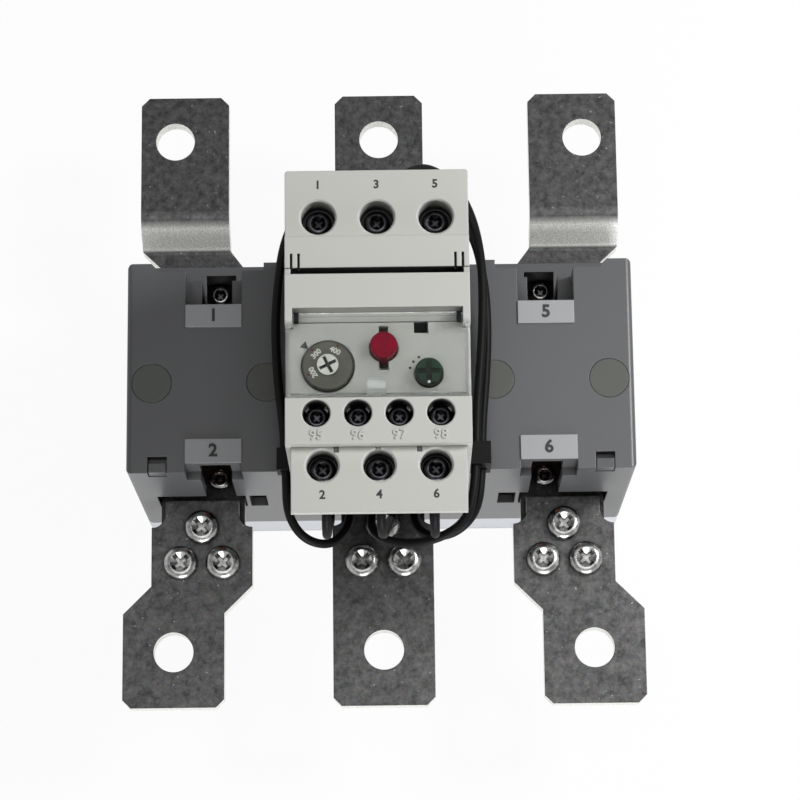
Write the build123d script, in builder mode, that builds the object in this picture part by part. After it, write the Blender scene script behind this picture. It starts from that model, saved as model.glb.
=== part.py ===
from build123d import *
import os
from math import radians, sqrt, tan

# Thermal overload relay fed by three current transformers. It lies on its mounting back:
# +Z out of the front, +Y towards the line side, +X to the right. Lengths are millimetres.
os.makedirs("parts", exist_ok=True)

# Transformer block
POLE_PITCH = 45.5
CT_WIDTH = 3 * POLE_PITCH
CT_FRONT = 85.0
BASE_HEIGHT = 15.0
BASE_FLOOR = 3.0
CT_WALL = 2.5
PARTITION = 2.0
LOAD_WALL_Y = -29.0
NOTCH_Y = 26.8
TAB_Y = 29.0
SHELF_Y = 36.0
SHELF_FRONT = 56.0
CORNER_RADIUS = 1.5
CORNER_TAB = 6.5
TAB_SLANT = 2.2
INNER_TAB_X = 29.2
INNER_TAB = 4.3
FIT = 0.2

# Label pads, screw recesses and slots in the front of the block
PAD_X = 44.9
PAD_WIDTH = 15.2
PAD_RAISE = 0.6
LINE_PAD_Y = (11.0, 17.3)
LOAD_PAD_Y = (-26.5, -19.9)
RECESS_DEPTH = 10.0
SLOT_X = 44.6
SLOT_WIDTH = 8.3
TAP_X = 45.4
PLUG_X = (30.6, 61.5)
PLUG_Y = -4.3
PLUG_RADIUS = 5.3
PLUG_THICKNESS = 3.5
SNAP_X = 59.9
SNAP_WIDTH = 5.1
SNAP_RISE = 4.5
SNAP_DEPTH = 5.0
SIDE_WINDOW_X = 34.6
SIDE_WINDOW = 4.8

# Primary bars and load plates
BAR_THICKNESS = 5.0
BAR_BACK = 39.5
BAR_FRONT = BAR_BACK + BAR_THICKNESS
BAR_X = 50.25
BAR_WIDTH = 23.3
BAR_NECK = 16.4
FLANGE_X = 55.2
FLANGE_WIDTH = 25.0
FLANGE_STEP = 8.0
LINE_END_Y = 87.4
JOGGLE_Y = (45.6, 51.0)
JOG_Y = (38.5, 44.0)
NECK_Y = (-18.0, 24.0)
NECK_TAPER = 3.0
BAR_END_Y = -53.0
BEND_RADIUS = 5.0
HOLE_PITCH = 58.0
HOLE_RADIUS = 5.5
LINE_HOLE_Y = 74.3
LOAD_HOLE_Y = -72.0
LOAD_END_Y = -87.4
PLATE_THICKNESS = 5.0
PLATE_WIDTH = 28.0
PLATE_NECK = 20.4
PLATE_NECK_END_Y = -37.1
PLATE_JOG_Y = (-61.3, -53.6)
END_CHAMFER = 2.3
PLATE_GAP = 0.5
PLATE_SCREW_Y = (-37.3, -47.3)
PLATE_SCREW_HALF = 5.85
TERMINAL_SLOT = 24.4
TERMINAL_SLOT_FRONT = 53.0

# Cores, bobbins and windings
CORE_Y = -1.1
CORE_STACK = 20.0
CORE_BACK = 25.0
CORE_HEIGHT = 44.0
CORE_LIMB = 8.0
CORE_WINDOW = 20.0
BOBBIN_WALL = 1.0
WINDING_BUILD = 4.4

# Relay head
HEAD_WIDTH = 45.0
HEAD_WALL = 1.6
HEAD_DEPTH = 80.0
HEAD_FRONT = CT_FRONT + HEAD_DEPTH
UNIT_PLATE = 12.0
UNIT_END_Y = -36.0
UNIT_TOP_Y = 30.3
UNIT_BLOCK_Y = 4.9
UNIT_STEP_Y = 12.8
UNIT_FACE = HEAD_FRONT - 3.0
UNIT_LIP = HEAD_FRONT - 0.5
CASE_BACK = CT_FRONT + UNIT_PLATE
CASE_TOP_Y = 3.2
CASE_END_Y = -39.2
CASE_RIM = HEAD_FRONT - 17.0
CASE_FLOOR = 2.0
FRONT_END_Y = -27.7
PANEL_FACE = HEAD_FRONT - 5.5
PANEL = 2.0
BAND_Y = -5.3
BRIDGE_BACK = CASE_RIM + 2.0
BRIDGE = 2.5
BRIDGE_Y = -9.5
GROOVE_INSET = (1.6, 3.4)
CHEEK = 1.4

# Screw terminals
HEAD_SINK = 4.6
LINE_X = (-14.4, 0.0, 14.4)
LINE_SCREW_Y = 18.3
LINE_WELL = 4.2
LOAD_X = (-13.7, 0.0, 13.7)
LOAD_SCREW_Y = -43.8
LOAD_WELL = 3.85
WELL_CHAMFER = 0.45
CHAMBER_BACK = CASE_RIM - 26.0
CHAMBER_HEIGHT = 15.0
CHAMBER_WIDTH = 10.6
CLAMP_WIDTH = 10.0
CLAMP_HEIGHT = 13.0
CLAMP_WALL = 1.2
CLAMP_SEAT = 0.3
LINE_CLAMP = 8.0
LOAD_CLAMP = 6.4
MAIN_HEAD = 3.0
MAIN_HEAD_RADIUS = 3.2
SCREW_TURN = 40
MAIN_SHANK = 2.0
LOAD_BLOCK_WIDTH = 42.5
LOAD_BLOCK_FACE = HEAD_FRONT - 3.0
LOAD_BLOCK_END_Y = -55.2
LOAD_BLOCK_BODY_Y = -47.2
HOOD = 2.7
LATCH_X = (-10.3, -0.2, 9.8)
LATCH_NOTCH = (1.2, 1.4, 0.6)
AUX_X = (-15.0, -5.0, 5.0, 15.0)
AUX_SCREW_Y = -31.5
AUX_WELL = 3.35
AUX_HEAD = 2.9
AUX_HEAD_HEIGHT = 2.4
AUX_SHANK = 4.5
AUX_WASHER = 5.4

# Current path through the relay
STRIP = 1.5
STRIP_WIDTH = 5.0
STRIP_BACK = CHAMBER_BACK + CLAMP_SEAT + CLAMP_WALL + 0.5
BIMETAL_Y = -12.0
BIMETAL = (1.0, 5.0)
BIMETAL_TOP = CASE_RIM - 15.0
BIMETAL_SEAT = 4.0
HEATER = (4.0, 8.0)
HEATER_WALL = 1.0
HEATER_TOP = CASE_RIM - 26.0
HEATER_LEG = (3.0, 1.5)
LEG_LAP = 6.0
TAIL_REACH = 5.0

# Trip mechanism
TRIP_TRAVEL = 2.0
GAP = 0.3
SLIDER_BACK = CASE_RIM - 19.5
SLIDER = 3.0
SLIDER_DEPTH = 8.0
LEVER_X = 7.2
LEVER_Y = -24.0
LEVER_BACK = CASE_RIM - 14.0
LEVER = 3.0
LEVER_WIDTH = 6.0
PIVOT_RADIUS = 1.2
PIVOT_FIT = 0.06
PIVOT_DEPTH = 6.0
POST_RADIUS = 1.0
SLIDER_POST_Y = -12.0
CARRIAGE_POST_Y = -34.0
FLAG_POST_Y = -2.0
CARRIAGE = 1.6
CARRIAGE_BACK = CASE_RIM - 21.2
CARRIAGE_HEIGHT = 5.0
CONTACT = 0.6
CONTACT_Y = (-35.9, -32.1)
NC_X = -9.0
NO_X = 2.5
NO_GAP = 1.9

# Controls on the dial panel
DIAL_X = -12.2
DIAL_Y = -18.7
DIAL_RADIUS = 6.25
SPINDLE_RADIUS = 2.0
TEST_X = 1.4
TEST_Y = -14.3
RESET_X = 12.3
RESET_Y = -20.8
BUTTON_RADIUS = 3.3
PRESS_TRAVEL = 2.5
STEM_RADIUS = 1.5
RUNNING = 0.06
CUP_RADIUS = 4.4
CUP_BACK = CASE_RIM - 5.0
FLAG_X = (8.8, 12.2)
FLAG_Y = (-10.6, -7.4)
HINGE_Y = -7.6
HINGE_Z = HEAD_FRONT - 1.7
HINGE_RADIUS = 1.3
HINGE_PIN = 0.9
LUG_X = HEAD_WIDTH / 2 - 1.8
COVER = 1.3
COVER_FACE = HEAD_FRONT - 0.1
COVER_END_Y = -27.4

# Secondary leads
LEAD_RADIUS = 1.2
LEAD_Z = STRIP_BACK + STRIP + LEAD_RADIUS + 0.5
LEAD_START_Y = 20.0
LEAD_END_Y = -27.4
BUSH_Z = 67.0
BUSH_HALF = (17.0, 6.0)
BUSH_PITCH = 5.6
CLIP_BORE = LEAD_RADIUS + 0.25
CLIP_Y = (-30.0, -24.0)
CLIP_OUT = (2.9, 4.25, 2.6)
CLIP_UP = (5.1, 10.3)

SIDES = (("left", -1), ("middle", 0), ("right", 1))


def xz_plane(y):
    """A drawing plane facing -Y at the given y: its x is X and its y is Z."""
    return Plane.XZ.offset(-y)


def block(x, y, z, mode=Mode.ADD):
    """Add or cut the block between two limits along each axis."""
    with BuildSketch(Plane.XY.offset(z[0])) as outline:
        with Locations(((x[0] + x[1]) / 2, (y[0] + y[1]) / 2)):
            Rectangle(x[1] - x[0], y[1] - y[0])
    extrude(outline.sketch, amount=z[1] - z[0], mode=mode)


def drill(points, radius, z, mode=Mode.SUBTRACT):
    """Cut, or with Mode.ADD raise, a round column at each point between two heights."""
    with BuildSketch(Plane.XY.offset(z[0])) as outline:
        with Locations(*points):
            Circle(radius)
    extrude(outline.sketch, amount=z[1] - z[0], mode=mode)


def around(centre, width):
    """The two limits of a width about its centre."""
    return (centre - width / 2, centre + width / 2)


def mirrored(limits, side):
    """Limits measured on the right-hand side, for the side wanted."""
    return limits if side > 0 else (-limits[1], -limits[0])


def screw(x, y, seat, head_radius, head_height, shank_radius, length, crown=0.35):
    """Turn one screw whose head sits on the plane z = seat, with a domed crown and a cross recess."""
    top = seat + head_height
    rise = head_height * crown
    dome = (head_radius**2 + rise**2) / (2 * rise)
    middle = top - dome + sqrt(dome**2 - (head_radius / 2) ** 2)
    with BuildSketch(Plane(origin=(x, y, 0), x_dir=(1, 0, 0), z_dir=(0, -1, 0))) as profile:
        with BuildLine():
            Polyline(
                (0, top), (0, seat - length), (shank_radius, seat - length), (shank_radius, seat),
                (head_radius, seat), (head_radius, top - rise),
            )
            ThreePointArc((head_radius, top - rise), (head_radius / 2, middle), (0, top))
        make_face()
    revolve(profile.sketch, axis=Axis((x, y, 0), (0, 0, 1)))
    with BuildSketch(Plane.XY.offset(top - rise - 0.9)) as recess:
        with Locations((x, y)):
            Rectangle(head_radius * 1.3, head_radius * 0.24, rotation=SCREW_TURN)
            Rectangle(head_radius * 0.24, head_radius * 1.3, rotation=SCREW_TURN)
    extrude(recess.sketch, amount=rise + 2, mode=Mode.SUBTRACT)


# Transformer housing: a three-cell moulding, open at the back
half_width = CT_WIDTH / 2
cell_edge = POLE_PITCH / 2 + PARTITION / 2
cells = (
    (-half_width + CT_WALL, -cell_edge),
    (cell_edge - POLE_PITCH, POLE_PITCH - cell_edge),
    (cell_edge, half_width - CT_WALL),
)
inner_load_y = LOAD_WALL_Y + CT_WALL
tab_low = INNER_TAB_X - INNER_TAB / 2
tab_high = INNER_TAB_X + INNER_TAB / 2
with BuildPart() as ct_housing:
    with BuildSketch(Plane.XY.offset(BASE_HEIGHT)):
        with Locations((0, (LOAD_WALL_Y + SHELF_Y) / 2)):
            Rectangle(CT_WIDTH, SHELF_Y - LOAD_WALL_Y)
    extrude(amount=SHELF_FRONT - BASE_HEIGHT)
    with BuildSketch(Plane.XY.offset(SHELF_FRONT)):
        with BuildLine():
            Polyline(
                (0, LOAD_WALL_Y),
                (half_width, LOAD_WALL_Y),
                (half_width, TAB_Y),
                (half_width - CORNER_TAB, TAB_Y),
                (half_width - CORNER_TAB - TAB_SLANT, NOTCH_Y),
                (tab_high, NOTCH_Y),
                (tab_high, TAB_Y),
                (tab_low, TAB_Y),
                (tab_low, NOTCH_Y),
                (0, NOTCH_Y),
            )
            mirror(about=Plane.YZ)
        make_face()
    extrude(amount=CT_FRONT - SHELF_FRONT)
    corners = ct_housing.edges().filter_by(Axis.Z).filter_by(
        lambda edge: abs(abs(edge.center().X) - half_width) < 0.01
    )
    rims = ct_housing.edges().filter_by(Axis.Y).filter_by(
        lambda edge: abs(abs(edge.center().X) - half_width) < 0.01 and edge.center().Z > CT_FRONT - 0.01
    )
    fillet(corners + rims, CORNER_RADIUS)
    for cell in cells:
        block(cell, (inner_load_y, SHELF_Y - CT_WALL), (BASE_HEIGHT, SHELF_FRONT - CT_WALL), Mode.SUBTRACT)
        block(cell, (inner_load_y, NOTCH_Y - CT_WALL), (BASE_HEIGHT, CT_FRONT - CT_WALL), Mode.SUBTRACT)
    # Wells for the round plugs
    wells = [(side * x, PLUG_Y) for side in (-1, 1) for x in PLUG_X]
    well_floor = CT_FRONT - PLUG_THICKNESS
    drill(wells, PLUG_RADIUS + 1.3, (well_floor - CT_WALL / 2, CT_FRONT - CT_WALL), Mode.ADD)
    drill(wells, PLUG_RADIUS + FIT / 2, (well_floor, CT_FRONT))
    recess_floor = CT_FRONT - RECESS_DEPTH
    for side in (-1, 1):
        pad = mirrored(around(PAD_X, PAD_WIDTH), side)
        cheeks = mirrored(around(PAD_X, PAD_WIDTH + CT_WALL), side)
        slot = mirrored(around(SLOT_X, SLOT_WIDTH), side)
        # Load-side recess and slot, open to the load wall
        block(cheeks, (LOAD_WALL_Y, inner_load_y + 2), (recess_floor - CT_WALL, CT_FRONT - CT_WALL))
        block(pad, (LOAD_WALL_Y, LOAD_PAD_Y[0]), (recess_floor, CT_FRONT), Mode.SUBTRACT)
        block(slot, (LOAD_WALL_Y, LOAD_PAD_Y[0]), (BAR_FRONT, CT_FRONT), Mode.SUBTRACT)
        block(slot, (LOAD_WALL_Y, inner_load_y + 2), (BAR_FRONT, CT_FRONT - CT_WALL), Mode.SUBTRACT)
        # Line-side recess and slot, open to the notch and to the shelf behind it
        block(cheeks, (LINE_PAD_Y[1] - CT_WALL, NOTCH_Y), (recess_floor - CT_WALL, CT_FRONT - CT_WALL))
        block(pad, (LINE_PAD_Y[1], NOTCH_Y), (recess_floor, CT_FRONT), Mode.SUBTRACT)
        block(slot, (LINE_PAD_Y[1] + 0.5, SHELF_Y - CT_WALL), (BAR_FRONT, CT_FRONT), Mode.SUBTRACT)
        for pad_y in (LINE_PAD_Y, LOAD_PAD_Y):
            block(pad, pad_y, (CT_FRONT, CT_FRONT + PAD_RAISE))
        # Snap window at the front corner of the load wall, and a window beside the load plate
        snap = mirrored(around(SNAP_X, SNAP_WIDTH), side)
        block(snap, (LOAD_WALL_Y, LOAD_WALL_Y + SNAP_RISE), (CT_FRONT - SNAP_DEPTH, CT_FRONT), Mode.SUBTRACT)
        window = mirrored(around(SIDE_WINDOW_X, SIDE_WINDOW), side)
        block(window, (LOAD_WALL_Y, inner_load_y), (BAR_BACK - 1, TERMINAL_SLOT_FRONT), Mode.SUBTRACT)
    # Slots that the bars leave by
    for _, side in SIDES:
        opening = around(side * BAR_X, TERMINAL_SLOT)
        block(opening, (LOAD_WALL_Y, inner_load_y), (BAR_BACK - 1, TERMINAL_SLOT_FRONT), Mode.SUBTRACT)
        block(opening, (SHELF_Y - CT_WALL, SHELF_Y), (BAR_BACK - 1, BAR_FRONT + 1), Mode.SUBTRACT)
    # Outlet for the secondary leads
    block(
        around(0, 2 * BUSH_HALF[0] - 2), (LOAD_WALL_Y, inner_load_y), around(BUSH_Z, 2 * BUSH_HALF[1] - 2),
        Mode.SUBTRACT,
    )
ct_housing.part.label = "ct_housing"
export_step(ct_housing.part, "parts/ct_housing.step")

# Base: a tray with saddles under the cores, posts under the bars and two snap arms
post_size = (9.0, 6.4)
tap_y = (SHELF_Y - CT_WALL - FIT - post_size[1] / 2, inner_load_y + FIT + post_size[1] / 2)
taps = [(side * TAP_X, y) for _, side in SIDES for y in tap_y]
bar_inner_edge = BAR_X - BAR_WIDTH / 2
core_x = bar_inner_edge + BAR_NECK / 2
with BuildPart() as ct_base:
    with BuildSketch(Plane.XY):
        with Locations((0, (LOAD_WALL_Y + SHELF_Y) / 2)):
            RectangleRounded(CT_WIDTH, SHELF_Y - LOAD_WALL_Y, CORNER_RADIUS)
    extrude(amount=BASE_HEIGHT)
    block(
        around(0, CT_WIDTH - 2 * CT_WALL), (inner_load_y, SHELF_Y - CT_WALL), (BASE_FLOOR, BASE_HEIGHT),
        Mode.SUBTRACT,
    )
    for _, side in SIDES:
        for rib_y in (CORE_Y - CORE_STACK / 3, CORE_Y + CORE_STACK / 3):
            saddle = around(side * core_x, CORE_WINDOW + CORE_LIMB)
            block(saddle, around(rib_y, 3), (BASE_FLOOR, CORE_BACK))
    for x, y in taps:
        block(around(x, post_size[0]), around(y, post_size[1]), (BASE_FLOOR, BAR_BACK))
    drill(taps, 1.65, (BAR_BACK - 9, BAR_BACK))
    arm_low = BAR_X + BAR_WIDTH / 2 + 0.7
    arm_y = (inner_load_y + FIT, inner_load_y + FIT + 2)
    nose_z = (CT_FRONT - SNAP_DEPTH + FIT, CT_FRONT - FIT)
    for side in (-1, 1):
        arm = mirrored((arm_low, half_width - CT_WALL - FIT), side)
        head = mirrored((SNAP_X - SNAP_WIDTH / 2 + FIT, half_width - CT_WALL - FIT), side)
        nose = mirrored(around(SNAP_X, SNAP_WIDTH - 2 * FIT), side)
        block(arm, arm_y, (BASE_FLOOR, nose_z[0] + 1.5))
        block(head, arm_y, (nose_z[0] - 2.5, nose_z[0] + 1.5))
        block(nose, (LOAD_WALL_Y + FIT, arm_y[0]), nose_z)
ct_base.part.label = "ct_base"
export_step(ct_base.part, "parts/ct_base.step")

# Cores, bobbins and windings: one set round each bar
limb_z = CORE_BACK + CORE_HEIGHT - CORE_LIMB / 2
tube_y = CORE_STACK + 2 * FIT + 2 * BOBBIN_WALL
tube_z = CORE_LIMB + 2 * FIT + 2 * BOBBIN_WALL
coil_length = CORE_WINDOW - 2 * FIT - 2 * BOBBIN_WALL
centres = [side * core_x for _, side in SIDES]
with BuildPart() as cores:
    with BuildSketch(xz_plane(CORE_Y + CORE_STACK / 2)):
        with Locations(*[(x, CORE_BACK + CORE_HEIGHT / 2) for x in centres]):
            Rectangle(CORE_WINDOW + 2 * CORE_LIMB, CORE_HEIGHT)
            Rectangle(CORE_WINDOW, CORE_HEIGHT - 2 * CORE_LIMB, mode=Mode.SUBTRACT)
    extrude(amount=CORE_STACK)
cores.part.label = "cores"
export_step(cores.part, "parts/cores.step")

with BuildPart() as bobbins:
    for x in centres:
        with BuildSketch(Plane.YZ.offset(x - coil_length / 2)):
            with Locations((CORE_Y, limb_z)):
                Rectangle(tube_y, tube_z)
        extrude(amount=coil_length)
        for edge in (x - coil_length / 2 - BOBBIN_WALL, x + coil_length / 2):
            with BuildSketch(Plane.YZ.offset(edge)):
                with Locations((CORE_Y, limb_z)):
                    RectangleRounded(tube_y + 2 * WINDING_BUILD + 0.6, tube_z + 2 * WINDING_BUILD + 0.6, 2)
            extrude(amount=BOBBIN_WALL)
        with BuildSketch(Plane.YZ.offset(x - coil_length)):
            with Locations((CORE_Y, limb_z)):
                Rectangle(CORE_STACK + 2 * FIT, CORE_LIMB + 2 * FIT)
        extrude(amount=2 * coil_length, mode=Mode.SUBTRACT)
bobbins.part.label = "bobbins"
export_step(bobbins.part, "parts/bobbins.step")

with BuildPart() as windings:
    for x in centres:
        with BuildSketch(Plane.YZ.offset(x - coil_length / 2)):
            with Locations((CORE_Y, limb_z)):
                RectangleRounded(tube_y + 2 * WINDING_BUILD, tube_z + 2 * WINDING_BUILD, 3)
                Rectangle(tube_y, tube_z, mode=Mode.SUBTRACT)
        extrude(amount=coil_length)
windings.part.label = "windings"
export_step(windings.part, "parts/windings.step")

# Primary bars: a joggled strip, cut to its outline, with a wide line flange
for name, side in SIDES:
    flange = around(side * FLANGE_X, FLANGE_WIDTH)
    body = around(side * BAR_X, BAR_WIDTH)
    inner = around(side * core_x, BAR_NECK)
    with BuildPart() as busbar:
        with BuildSketch(Plane.YZ.offset(-half_width - PLATE_WIDTH)):
            with BuildLine():
                centre = BAR_BACK + BAR_THICKNESS / 2
                FilletPolyline(
                    (LINE_END_Y, centre + FLANGE_STEP),
                    (JOGGLE_Y[1], centre + FLANGE_STEP),
                    (JOGGLE_Y[0], centre),
                    (BAR_END_Y, centre),
                    radius=BEND_RADIUS,
                )
            trace(line_width=BAR_THICKNESS)
        extrude(amount=2 * (half_width + PLATE_WIDTH))
        with BuildSketch(Plane.XY):
            with BuildLine():
                Polyline(
                    (flange[1], LINE_END_Y),
                    (flange[1], JOG_Y[1]),
                    (body[1], JOG_Y[0]),
                    (body[1], NECK_Y[1] + NECK_TAPER),
                    (inner[1], NECK_Y[1]),
                    (inner[1], NECK_Y[0]),
                    (body[1], NECK_Y[0] - NECK_TAPER),
                    (body[1], BAR_END_Y),
                    (body[0], BAR_END_Y),
                    (body[0], NECK_Y[0] - NECK_TAPER),
                    (inner[0], NECK_Y[0]),
                    (inner[0], NECK_Y[1]),
                    (body[0], NECK_Y[1] + NECK_TAPER),
                    (body[0], JOG_Y[0]),
                    (flange[0], JOG_Y[1]),
                    (flange[0], LINE_END_Y),
                    close=True,
                )
            make_face()
        extrude(amount=CT_FRONT, mode=Mode.INTERSECT)
        chamfer(busbar.edges().filter_by(Axis.Z).group_by(Axis.Y)[-1], END_CHAMFER)
        drill([(side * HOLE_PITCH, LINE_HOLE_Y)], HOLE_RADIUS, (BAR_BACK, CT_FRONT))
        plate_taps = [(side * BAR_X, PLATE_SCREW_Y[0])]
        plate_taps += [(side * BAR_X + step, PLATE_SCREW_Y[1]) for step in (-PLATE_SCREW_HALF, PLATE_SCREW_HALF)]
        drill(plate_taps, 2.5, (BAR_BACK, BAR_FRONT))
        drill([tap for tap in taps if abs(tap[0] - side * TAP_X) < 1], 2.2, (BAR_BACK, BAR_FRONT))
    busbar.part.label = f"busbar_{name}"
    export_step(busbar.part, f"parts/busbar_{name}.step")

    upper = around(side * BAR_X, PLATE_WIDTH)
    lower = around(side * HOLE_PITCH, PLATE_WIDTH)
    neck = around(side * BAR_X, PLATE_NECK)
    plate_start_y = LOAD_WALL_Y - PLATE_GAP
    shoulder = (PLATE_WIDTH - PLATE_NECK) / 2
    with BuildPart() as load_plate:
        with BuildSketch(Plane.XY.offset(BAR_FRONT)):
            with BuildLine():
                right = Polyline(
                    (neck[1], plate_start_y),
                    (neck[1], PLATE_NECK_END_Y + shoulder),
                )
                RadiusArc((neck[1], PLATE_NECK_END_Y + shoulder), (upper[1], PLATE_NECK_END_Y), -shoulder)
                Polyline(
                    (upper[1], PLATE_NECK_END_Y),
                    (upper[1], PLATE_JOG_Y[1]),
                    (lower[1], PLATE_JOG_Y[0]),
                    (lower[1], LOAD_END_Y),
                    (lower[0], LOAD_END_Y),
                    (lower[0], PLATE_JOG_Y[0]),
                    (upper[0], PLATE_JOG_Y[1]),
                    (upper[0], PLATE_NECK_END_Y),
                )
                RadiusArc((upper[0], PLATE_NECK_END_Y), (neck[0], PLATE_NECK_END_Y + shoulder), -shoulder)
                Polyline(
                    (neck[0], PLATE_NECK_END_Y + shoulder),
                    (neck[0], plate_start_y),
                    (neck[1], plate_start_y),
                )
            make_face()
        extrude(amount=PLATE_THICKNESS)
        chamfer(load_plate.edges().filter_by(Axis.Z).group_by(Axis.Y)[0], END_CHAMFER)
        drill([(side * HOLE_PITCH, LOAD_HOLE_Y)], HOLE_RADIUS, (BAR_FRONT, BAR_FRONT + PLATE_THICKNESS))
        drill(plate_taps, 2.6, (BAR_FRONT, BAR_FRONT + PLATE_THICKNESS))
    load_plate.part.label = f"load_plate_{name}"
    export_step(load_plate.part, f"parts/load_plate_{name}.step")

# Pan-head screws that hold the load plates, and the screws that hold the bars to the base
with BuildPart() as plate_screws:
    for _, side in SIDES:
        for x, y in ((0, PLATE_SCREW_Y[0]), (-PLATE_SCREW_HALF, PLATE_SCREW_Y[1]), (PLATE_SCREW_HALF, PLATE_SCREW_Y[1])):
            screw(side * BAR_X + x, y, BAR_FRONT + PLATE_THICKNESS, 4.75, 3.1, 2.45, BAR_THICKNESS + PLATE_THICKNESS)
plate_screws.part.label = "plate_screws"
export_step(plate_screws.part, "parts/plate_screws.step")

with BuildPart() as bar_screws:
    for x, y in taps:
        screw(x, y, BAR_FRONT, 3.0, 3.6, 1.6, BAR_THICKNESS + 8)
bar_screws.part.label = "bar_screws"
export_step(bar_screws.part, "parts/bar_screws.step")

with BuildPart() as well_plugs:
    drill(wells, PLUG_RADIUS, (well_floor, CT_FRONT), Mode.ADD)
well_plugs.part.label = "well_plugs"
export_step(well_plugs.part, "parts/well_plugs.step")

# Bush that the secondary leads leave the block by
bush_holes = [((index - 2.5) * BUSH_PITCH, BUSH_Z) for index in range(6)]
with BuildPart() as lead_bush:
    with BuildSketch(xz_plane(LOAD_WALL_Y)):
        with Locations((0, BUSH_Z)):
            RectangleRounded(2 * BUSH_HALF[0], 2 * BUSH_HALF[1], 1.5)
    extrude(amount=1.4)
    block(
        around(0, 2 * BUSH_HALF[0] - 2 - 2 * FIT), (LOAD_WALL_Y, inner_load_y + 0.5),
        around(BUSH_Z, 2 * BUSH_HALF[1] - 2 - 2 * FIT),
    )
    with BuildSketch(xz_plane(inner_load_y + 1)):
        with Locations(*bush_holes):
            Circle(LEAD_RADIUS + 0.05)
    extrude(amount=CT_WALL + 4, mode=Mode.SUBTRACT)
lead_bush.part.label = "lead_bush"
export_step(lead_bush.part, "parts/lead_bush.step")

# Mounting unit: a foot on the block's front that carries the three line terminals
chamber_front = CHAMBER_BACK + CHAMBER_HEIGHT
chamber_z = (CHAMBER_BACK, chamber_front)
strip_z = (STRIP_BACK, STRIP_BACK + STRIP)
strip_slot_z = (STRIP_BACK - GAP, STRIP_BACK + STRIP + GAP)
clamp_z = (CHAMBER_BACK + CLAMP_SEAT, CHAMBER_BACK + CLAMP_SEAT + CLAMP_HEIGHT)
screw_seat = UNIT_FACE - HEAD_SINK - MAIN_HEAD
well_back = screw_seat - GAP
with BuildPart() as mounting_unit:
    with BuildSketch(Plane.YZ.offset(-HEAD_WIDTH / 2)):
        with BuildLine():
            Polyline(
                (UNIT_END_Y, CT_FRONT),
                (UNIT_TOP_Y, CT_FRONT),
                (UNIT_TOP_Y, UNIT_FACE),
                (UNIT_STEP_Y, UNIT_FACE),
                (UNIT_STEP_Y, UNIT_LIP),
                (UNIT_BLOCK_Y, UNIT_LIP),
                (UNIT_BLOCK_Y, CASE_BACK),
                (UNIT_END_Y, CASE_BACK),
                close=True,
            )
        make_face()
    extrude(amount=HEAD_WIDTH)
    fillet(mounting_unit.edges().filter_by(Axis.Z).group_by(Axis.Y)[-1], 0.8)
    line_wells = [(x, LINE_SCREW_Y) for x in LINE_X]
    drill(line_wells, LINE_WELL, (well_back, UNIT_FACE))
    drill(line_wells, MAIN_SHANK + GAP, (chamber_front, well_back))
    rims = mounting_unit.edges().filter_by(GeomType.CIRCLE).filter_by(
        lambda edge: abs(edge.center().Z - UNIT_FACE) < 0.01 and edge.length > 2 * LINE_WELL
    )
    chamfer(rims, WELL_CHAMFER)
    for x in LINE_X:
        block(around(x, CHAMBER_WIDTH), (UNIT_BLOCK_Y + 4, UNIT_TOP_Y), chamber_z, Mode.SUBTRACT)
        block(around(x, STRIP_WIDTH + 2 * GAP), (UNIT_BLOCK_Y, UNIT_BLOCK_Y + 4), strip_slot_z, Mode.SUBTRACT)
    # Narrow relief grooves at the lower corners of the face, and cheeks that close the gap to the relay
    for side in (-1, 1):
        for inset in GROOVE_INSET:
            groove = around(side * (HEAD_WIDTH / 2 - inset), 0.6)
            block(groove, (UNIT_BLOCK_Y, UNIT_BLOCK_Y + 3.6), (UNIT_LIP - 2.5, UNIT_LIP), Mode.SUBTRACT)
        cheek = mirrored((HEAD_WIDTH / 2 - CHEEK, HEAD_WIDTH / 2), side)
        block(cheek, (CASE_TOP_Y + FIT, UNIT_BLOCK_Y), (CASE_BACK, UNIT_LIP - 0.5))
mounting_unit.part.label = "mounting_unit"
export_step(mounting_unit.part, "parts/mounting_unit.step")


def clamp(x, y, length):
    """One box clamp: a square steel tube with a tapped hole for its screw."""
    with BuildSketch(xz_plane(y + length / 2)) as outline:
        with Locations((x, (clamp_z[0] + clamp_z[1]) / 2)):
            Rectangle(CLAMP_WIDTH, CLAMP_HEIGHT)
            Rectangle(CLAMP_WIDTH - 2 * CLAMP_WALL, CLAMP_HEIGHT - 2 * CLAMP_WALL, mode=Mode.SUBTRACT)
    extrude(outline.sketch, amount=length)


screw_length = screw_seat - (LEAD_Z + LEAD_RADIUS + 0.5)
load_clamp_y = LOAD_BLOCK_BODY_Y + LOAD_CLAMP / 2 + 0.2
for name, xs, screw_y, clamp_y, length in (
    ("line", LINE_X, LINE_SCREW_Y, LINE_SCREW_Y, LINE_CLAMP),
    ("load", LOAD_X, LOAD_SCREW_Y, load_clamp_y, LOAD_CLAMP),
):
    with BuildPart() as clamps:
        for x in xs:
            clamp(x, clamp_y, length)
        drill([(x, screw_y) for x in xs], MAIN_SHANK + 0.05, (clamp_z[1] - 2 * CLAMP_WALL, clamp_z[1]))
    clamps.part.label = f"{name}_clamps"
    export_step(clamps.part, f"parts/{name}_clamps.step")

    with BuildPart() as terminal_screws:
        for x in xs:
            screw(x, screw_y, screw_seat, MAIN_HEAD_RADIUS, MAIN_HEAD, MAIN_SHANK, screw_length, 0.15)
    terminal_screws.part.label = f"{name}_screws"
    export_step(terminal_screws.part, f"parts/{name}_screws.step")

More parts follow.
